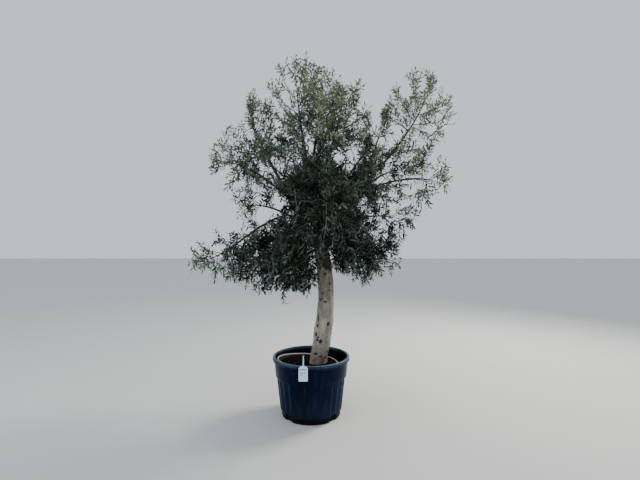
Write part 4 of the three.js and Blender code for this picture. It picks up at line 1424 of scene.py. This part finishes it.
def pot_shape(sizes):
    """Pushes the ribs out of the pot's body and its panels and notches in, and bends it a little."""

    def move(angle, radius, height):
        degrees = np.degrees(angle)
        outside = np.arange(len(POT_PROFILE))[:, None] < OUTSIDE_ROWS
        rib = rib_share(degrees, radius, height, sizes) * outside
        corner = np.abs((degrees - 45) % 90)
        corner = np.minimum(corner, 90 - corner)
        top, run = NOTCH["top"]
        notch = 1 / (1 + np.exp((corner - NOTCH["half_width"]) * NOTCH["sharpness"]))
        notch = notch * np.clip((top - height) / run, 0, 1) * outside * (radius > 250)
        away = np.minimum(np.abs((degrees + 90) % 180 - 90), np.abs((degrees + 180) % 180 - 90) * 2)
        lower_edge = PANEL["foot"] + PANEL["corner"] * np.clip(away / 31, 0, 1) ** 4
        panel = np.clip((PANEL["half_width"] - away) / 1.5, 0, 1) * np.clip((height - lower_edge) / 5, 0, 1)
        panel = panel * np.clip((PANEL["top"] - height) / 5, 0, 1) * outside
        bend = 0.8 * np.sin(3 * angle + 0.6) * np.clip(height / 500, 0, 1)
        pushed = rib * sizes.rib_height / MM - notch * sizes.notch_depth / MM - PANEL["depth"] * panel
        return radius + pushed + bend, height

    return move


# The soil in millimetres: the height of the gutter, how far the old root ball stands above it, the ball's
# radius, how steep its side is and how far its middle lies to the left; the cake's radius, underside and
# grid.
SOIL = {
    "gutter": 414, "ball_rise": 37, "ball_radius": 268, "ball_side": 4.5, "ball_left": 32,
    "radius": 308.6, "underside": 392, "rows": 64, "sides": 260,
}


def soil_height(x, y):
    """Height of the soil, in millimetres: the old root ball stands proud of a gutter of fresh soil."""
    radius = np.hypot(x + SOIL["ball_left"] * np.clip(np.hypot(x, y) / 250, 0, 1), y)
    ball = 1 / (1 + np.exp((radius - SOIL["ball_radius"]) / SOIL["ball_side"]))
    return SOIL["gutter"] + SOIL["ball_rise"] * ball


def soil_mesh(sizes):
    """A closed cake of compost with clods on its top."""
    angle = np.linspace(0, 2 * math.pi, SOIL["sides"], endpoint=False)
    rings = []
    for r in SOIL["radius"] * np.sqrt(np.linspace(1, 0.00002, SOIL["rows"])):
        x, y = r * np.sin(angle), -r * np.cos(angle)
        z = soil_height(x, y)
        calm = 1 - 0.5 * (r > SOIL["radius"] - 4)
        for i in range(len(angle)):
            at = Vector((x[i] * 0.021, y[i] * 0.021, 0))
            clod = noise.fractal(at, 0.8, 2.1, 4)
            z[i] += sizes.clod / MM * (0.55 * clod + 0.25 * noise.noise(at * 9)) * calm
        rings.append(np.stack([x, y, z], axis=-1))
    top, base = rings[0], np.array([0, 0, SOIL["underside"]])
    under = [top * np.array([share, share, 0]) + base for share in (0.0001, 0.985)]
    points = np.concatenate([*under, *rings]) * MM
    return cleaned(mesh_of("compost", points, grid_faces(len(rings) + len(under), SOIL["sides"])), 1e-6)


# The rim in millimetres: the bead's radius and how thick it is, how deep the wall goes, the bead's middle,
# and the tilt to the right and to the front in degrees.
RIM = {"radius": 273, "bead": 5.2, "deep": 58, "middle": (-32, 0, 470), "tilt": (4.3, -3.6), "sides": 192}


def rim_mesh():
    """The bead and wall of the inner rim, tilted a little in the soil. Its bead stays pale, and the wall
    under it gets painted shade.
    """
    roll = [(RIM["radius"] + RIM["bead"] * math.cos(a), RIM["bead"] * math.sin(a))
            for a in np.linspace(-0.9, math.pi + 0.3, 12)]
    foot = (262.5, -RIM["deep"])
    profile = [foot, (268.5, -34), *roll, (267, -7), (264.5, -34), (258.4, -RIM["deep"]), foot]

    def move(angle, radius, height):
        lift = 2.2 * np.sin(3 * angle) * np.clip((height + RIM["deep"]) / RIM["deep"], 0, 1)
        return radius + 1.6 * np.sin(2 * angle + 1), height + lift

    points, faces = lathe(profile, RIM["sides"], move)
    right, front = (math.radians(tilt) for tilt in RIM["tilt"])
    turn = rotation(np.array([0.0, 1, 0]), right) @ rotation(np.array([1.0, 0, 0]), front)
    mesh = mesh_of("inner_container_rim", (points @ turn.T + np.array(RIM["middle"])) * MM, faces)
    write_values(mesh, bead=np.repeat([float(height > -3) for _, height in profile], RIM["sides"]))
    return cleaned(mesh)


# The tag in millimetres: its middle to the right, the plate's depth, width, height, top, corners and
# shoulders and how far it bows; the strap's width, how high it would arch, and its depth and heights where
# it meets the soil.
TAG = {
    "x": -58, "face": -352.6, "width": 76, "height": 126, "top": 526, "corner": 7, "shoulder": 26,
    "bow": 0.96, "thickness": 1.3, "columns": 9,
    "strap": 8, "arch": 628, "strap_foot": -236, "soil": 446, "below": 430,
}


def tag_path():
    """The tag's middle line and width: up the plate with its round corners and shoulders, over the pot's lip
    and down into the soil. Rows of depth, height and width."""
    face, top, wide, strap = TAG["face"], TAG["top"], TAG["width"], TAG["strap"]
    foot, straight = top - TAG["height"], TAG["height"] - TAG["corner"] - TAG["shoulder"]
    path = []
    for t in np.linspace(0, 1, 6):
        inset = TAG["corner"] * (1 - math.sqrt(1 - (1 - t) ** 2))
        path.append((face, foot + TAG["corner"] * t, wide - 2 * inset))
    for t in np.linspace(0, 1, 9)[1:]:
        path.append((face, foot + TAG["corner"] + t * straight, wide))
    for t in np.linspace(0, 1, 12)[1:]:
        path.append((face, top - TAG["shoulder"] * (1 - t), strap + (wide - strap) * math.sqrt(1 - t * t)))
    arch = Bezier((face, top + 3), (face, TAG["arch"]), (TAG["strap_foot"], TAG["arch"]),
                  (TAG["strap_foot"], TAG["soil"]))
    for t in np.linspace(0, 1, 30):
        path.append((*arch.at(t), strap * (1 - 0.35 * math.sin(math.pi * t))))
    path.append((TAG["strap_foot"], TAG["below"], strap))
    return np.array(path)


def tag_mesh():
    """One thin ribbon of changing width along the tag's line, with the plate bowed to the front."""
    path = tag_path()
    rings = []
    for (y, z, width), (dy, dz) in zip(path, unit(np.gradient(path[:, :2], axis=0))):
        x = np.linspace(-0.5, 0.5, TAG["columns"]) * width
        on_plate = z < TAG["top"] - 5 and y < TAG["face"] + 1
        bow = on_plate * TAG["bow"] * (1 - (2 * x / TAG["width"]) ** 2)
        ring = []
        for half in (TAG["thickness"] / 2, -TAG["thickness"] / 2):
            row = np.stack([TAG["x"] + x, y - dz * half - bow, np.full_like(x, z + dy * half)], axis=-1)
            ring.append(row if half > 0 else row[::-1])
        rings.append(np.concatenate(ring))
    points, faces = tube(rings)
    return cleaned(mesh_of("hang_tag", points * MM, faces))


def print_mesh():
    """Plain bars where such a tag carries its print. A row has its height, the bars' height, where it starts
    and how wide its bars are."""
    rows = ((496, 8, -27, (9, 6, 11, 8, 6)), (472, 6, -24, (9, 5)), (462, 6, -20, (5, 10)),
            (452, 6, -24, (12,)), (470, 8, 5, (7, 5)))
    face, thickness, gap = -354.55, 0.6, 3
    parts = []
    for z, height, left, widths in rows:
        for width in widths:
            x = TAG["x"] + left
            front = np.array([(x, face, z - height / 2), (x + width, face, z - height / 2),
                              (x + width, face, z + height / 2), (x, face, z + height / 2)])
            parts.append(tube([front + [0, thickness, 0], front]))
            left += width + gap
    points, faces = join(parts)
    return cleaned(mesh_of("tag_print", points * MM, faces))


def leaf_shape():
    """One leaf, as long as it is wide: a convex upper side over a flat underside, curved back to its tip."""
    points = [(0, 0, 0)]
    for y, half in ((0.29, 0.44), (0.68, 0.46)):
        drop = -0.1 * y * y
        points += [(-half, y, drop), (0, y + 0.03, drop + 0.03), (half, y, drop)]
    points.append((0, 1, -0.12))
    # Two faces of the upper side, then one of the underside: at the foot, in the middle and at the tip.
    faces = [
        (0, 2, 1), (0, 3, 2), (0, 1, 3),
        (1, 2, 5, 4), (2, 3, 6, 5), (3, 1, 4, 6),
        (4, 5, 7), (5, 6, 7), (6, 4, 7),
    ]
    mesh = mesh_of("leaf", points, faces)
    mesh.attributes.new("underside", "BOOLEAN", "FACE").data.foreach_set("value", [False, False, True] * 3)
    return new_object("leaf", mesh)


def chip_shape():
    """A small angular chip."""
    made = bmesh.new()
    bmesh.ops.create_icosphere(made, subdivisions=1, radius=0.5)
    for vert in made.verts:
        vert.co *= 0.75 + 0.5 * noise.noise(vert.co * 3 + Vector((4, 1, 7)))
    mesh = bpy.data.meshes.new("chip")
    made.to_mesh(mesh)
    made.free()
    return new_object("chip", mesh)


# ---- operators ---------------------------------------------------------------------------------------------


# What lies loose on the soil: colour, share of all chips and size in millimetres. Half of the grit lies in
# one heap.
CHIPS = {
    "bark_chips": ((0.012, 0.008, 0.006), 0.62, 6.5), "root_crumbs": ((0.03, 0.02, 0.014), 0.35, 5.0),
    "pale_grit": ((0.42, 0.4, 0.36), 0.03, 7.5),
}


class OLIVE_OT_pot(bpy.types.Operator):
    """Turns the nursery pot with its rolled lip, collar, grip ribs and notched foot"""

    bl_idname = "olive.pot"
    bl_label = "Pot"

    def execute(self, context):
        sizes = context.scene.olive_pot
        points, faces = lathe(POT_PROFILE, POT_SIDES, pot_shape(sizes))
        mesh = cleaned(mesh_of("nursery_pot", points * MM, faces), 2e-5)
        x, y, height = np.array([vert.co for vert in mesh.vertices]).T / MM
        radius = np.hypot(x, y)
        outside = (radius > 265.5 + 0.121 * height) | (height > 500)
        rib = rib_share(np.degrees(np.arctan2(x, -y)), radius, height, sizes) * outside
        # The rib attribute places the painted highlights on the ribs, and the inside one the painted shade in
        # the pot.
        write_values(mesh, rib=rib, inside=~outside)
        colours = context.scene.olive_colours
        dressed("nursery_pot", smooth(mesh, 50), pot_material(colours), "pot_plastic", "pot")
        return {"FINISHED"}


class OLIVE_OT_soil(bpy.types.Operator):
    """Fills the pot with compost and strews chips over it"""

    bl_idname = "olive.soil"
    bl_label = "Soil"

    def execute(self, context):
        sizes, colours = context.scene.olive_pot, context.scene.olive_colours
        dressed("compost", smooth(soil_mesh(sizes)), soil_material(colours), "soil", "soil")
        random = np.random.default_rng(11)
        shape = chip_shape()
        for name, (colour, share, size) in CHIPS.items():
            count = int(sizes.chips * share)
            radius = 300 * np.sqrt(random.uniform(0.06, 1, count))
            angle = random.uniform(0, 2 * math.pi, count)
            if name == "pale_grit":
                heap = count // 2
                angle[:heap] = random.normal(math.radians(118), 0.12, heap)
                radius[:heap] = random.uniform(270, 300, heap)
            x, y = radius * np.sin(angle), -radius * np.cos(angle)
            points = np.stack([x, y, soil_height(x, y) + random.uniform(-1, 2.5, count)], axis=-1) * MM
            scale = size * MM * random.uniform(0.5, 1.5, (count, 1)) * random.uniform(0.4, 1.2, (count, 3))
            bits = scattered(name, points, {
                "heading": random.normal(size=(count, 3)), "upper": random.normal(size=(count, 3)),
                "size": scale,
            }, shape, chip_material(name, colour))
            place(bits, "soil")
        bpy.data.objects.remove(shape)
        return {"FINISHED"}


class OLIVE_OT_inner_rim(bpy.types.Operator):
    """Turns the rim of the smaller container that the root ball grew in"""

    bl_idname = "olive.inner_rim"
    bl_label = "Inner rim"

    def execute(self, context):
        plastic = rim_material(context.scene.olive_colours)
        dressed("inner_container_rim", smooth(rim_mesh(), 50), plastic, "rim_plastic", "inner_rim")
        return {"FINISHED"}


class OLIVE_OT_tag(bpy.types.Operator):
    """Makes the hang tag with its strap and plain printed bars"""

    bl_idname = "olive.tag"
    bl_label = "Hang tag"

    def execute(self, context):
        colours = context.scene.olive_colours
        dressed("hang_tag", smooth(tag_mesh(), 40), tag_material(colours), "tag_plastic", "tag")
        dressed("tag_print", print_mesh(), print_material(colours), "tag_plastic")
        return {"FINISHED"}


class OLIVE_OT_limbs(bpy.types.Operator):
    """Joins the trunk and boughs into one skin with the bark's relief"""

    bl_idname = "olive.limbs"
    bl_label = "Trunk and boughs"

    def execute(self, context):
        sizes = context.scene.olive_bark
        made = bark_mesh(sizes)
        add_relief(made, sizes)
        smooth(made.data)
        made.data.materials.append(bark_material(context.scene.olive_colours))
        place(made, "bark", "trunk", *(f"bough_{name}" for name in MASS_NAMES))
        return {"FINISHED"}


class OLIVE_OT_twigs(bpy.types.Operator):
    """Grows the stems, twigs and shoots in the space of each mass"""

    bl_idname = "olive.twigs"
    bl_label = "Twigs and shoots"

    def execute(self, context):
        colours = context.scene.olive_colours
        twigs, shoots, hanging, _ = grown_crown()
        for name, strands, sides, skin, colour, slot in (
            ("twigs", twigs, 6, "twig_bark", colours.twig, "bark"),
            ("shoots", shoots, 3, "shoot_skin", colours.shoot, "foliage"),
            ("hanging_shoots", hanging, 4, "bare_shoot_skin", colours.bare_shoot, "foliage"),
        ):
            place(stranded(name, strands, sides, twig_material(skin, tuple(colour))), slot)
        return {"FINISHED"}


class OLIVE_OT_leaves(bpy.types.Operator):
    """Sets the leaves on the shoots, each kind of leaf as one piece"""

    bl_idname = "olive.leaves"
    bl_label = "Leaves"

    def execute(self, context):
        colours = context.scene.olive_colours
        upper, under = tuple(colours.leaf_upper), tuple(colours.leaf_under)
        shape = leaf_shape()
        leaves = grown_crown()[-1]
        pieces = []
        for (kind, (silver, bright, warm)), rows in zip(LEAF_KINDS.items(), leaves):
            # bright darkens the kinds with painted shade and lightens them with painted light, on both sides
            # of the leaf; warm tints them to match.
            colour = warmed(shade(blend(upper, under, silver), bright), warm)
            below = warmed(shade(under, 0.95 + 0.4 * bright), 0.4 * warm)
            shine = min(0.4, 0.06 + 0.28 * bright)
            size = np.stack([rows[:, 10], rows[:, 9], rows[:, 9]], axis=-1) * MM
            pieces.append(scattered(
                f"leaves_{kind}", rows[:, :3] * MM,
                {"heading": rows[:, 3:6], "upper": rows[:, 6:9], "size": size},
                shape, leaf_material(f"leaf_{kind}", colour, 0.42, shine),
                leaf_material(f"leaf_{kind}_under", below, 0.7, shine / 2),
            ))
        bpy.data.objects.remove(shape)
        for made in pieces:
            smooth(made.data, 60)
            place(made, "foliage")
        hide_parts(*(f"foliage_{name}" for name in MASS_NAMES))
        return {"FINISHED"}


class OLIVE_OT_stage(bpy.types.Operator):
    """Sets up the floor, soft lights and camera"""

    bl_idname = "olive.stage"
    bl_label = "Stage"

    def execute(self, context):
        settings = context.scene.olive_stage
        reach = 60
        corners = [(-reach, -reach, 0), (reach, -reach, 0), (reach, reach, 0), (-reach, reach, 0)]
        floor = new_object("floor", mesh_of("floor", corners, [(0, 1, 2, 3)]))
        floor.data.materials.append(floor_material(settings))
        world = bpy.data.worlds.new("surround")
        world.use_nodes = True
        background = world.node_tree.nodes["Background"]
        background.inputs["Color"].default_value = (*settings.sky, 1)
        background.inputs["Strength"].default_value = 0.95
        context.scene.world = world
        crown = Vector((0.1, 0, 1.6))
        for name, where, power, wide, colour in (
            ("key", (4.2, 2.6, 4.6), 420, 1.8, (1.0, 0.93, 0.84)),
            ("fill", (-4.0, -2.2, 3.6), 60, 3.5, (0.9, 0.95, 1.0)),
        ):
            light = bpy.data.lights.new(name, "AREA")
            light.energy, light.size, light.color = power, wide, colour
            lamp = bpy.data.objects.new(name, light)
            lamp.location = where
            lamp.rotation_euler = (crown - Vector(where)).to_track_quat("-Z", "Y").to_euler()
            context.scene.collection.objects.link(lamp)
        lens = bpy.data.cameras.new("camera")
        lens.lens = lens.sensor_width * settings.focal_px / 640
        camera = bpy.data.objects.new("camera", lens)
        camera.location = (settings.camera_side, -settings.camera_distance, settings.camera_height)
        camera.rotation_euler = (math.pi / 2 + math.atan(settings.horizon_px / settings.focal_px), 0, 0)
        context.scene.collection.objects.link(camera)
        context.scene.camera = camera
        return {"FINISHED"}


class OLIVE_PT_panel(bpy.types.Panel):
    """Sizes, colours and pieces of the potted olive tree"""

    bl_idname = "OLIVE_PT_panel"
    bl_label = "Potted olive tree"
    bl_space_type = "VIEW_3D"
    bl_region_type = "UI"
    bl_category = "Olive tree"

    def draw(self, context):
        layout = self.layout
        for attribute in GROUPS:
            group = getattr(context.scene, attribute)
            box = layout.box()
            for key in group.__annotations__:
                box.prop(group, key)
        for operator in PIECES:
            layout.operator(operator.bl_idname)


GROUPS = {
    "olive_crown": CrownSizes, "olive_bark": BarkSizes, "olive_pot": PotSizes, "olive_colours": Colours,
    "olive_stage": StageSettings,
}
PIECES = (
    OLIVE_OT_pot, OLIVE_OT_soil, OLIVE_OT_inner_rim, OLIVE_OT_tag, OLIVE_OT_limbs, OLIVE_OT_twigs,
    OLIVE_OT_leaves, OLIVE_OT_stage,
)


def register():
    for made in (*GROUPS.values(), *PIECES, OLIVE_PT_panel):
        bpy.utils.register_class(made)
    for attribute, group in GROUPS.items():
        setattr(bpy.types.Scene, attribute, PointerProperty(type=group))


def unregister():
    for attribute in GROUPS:
        delattr(bpy.types.Scene, attribute)
    for made in reversed((*GROUPS.values(), *PIECES, OLIVE_PT_panel)):
        bpy.utils.unregister_class(made)


def main():
    register()
    for operator in PIECES:
        group, name = operator.bl_idname.split(".")
        getattr(getattr(bpy.ops, group), name)()


if __name__ == "__main__":
    main()
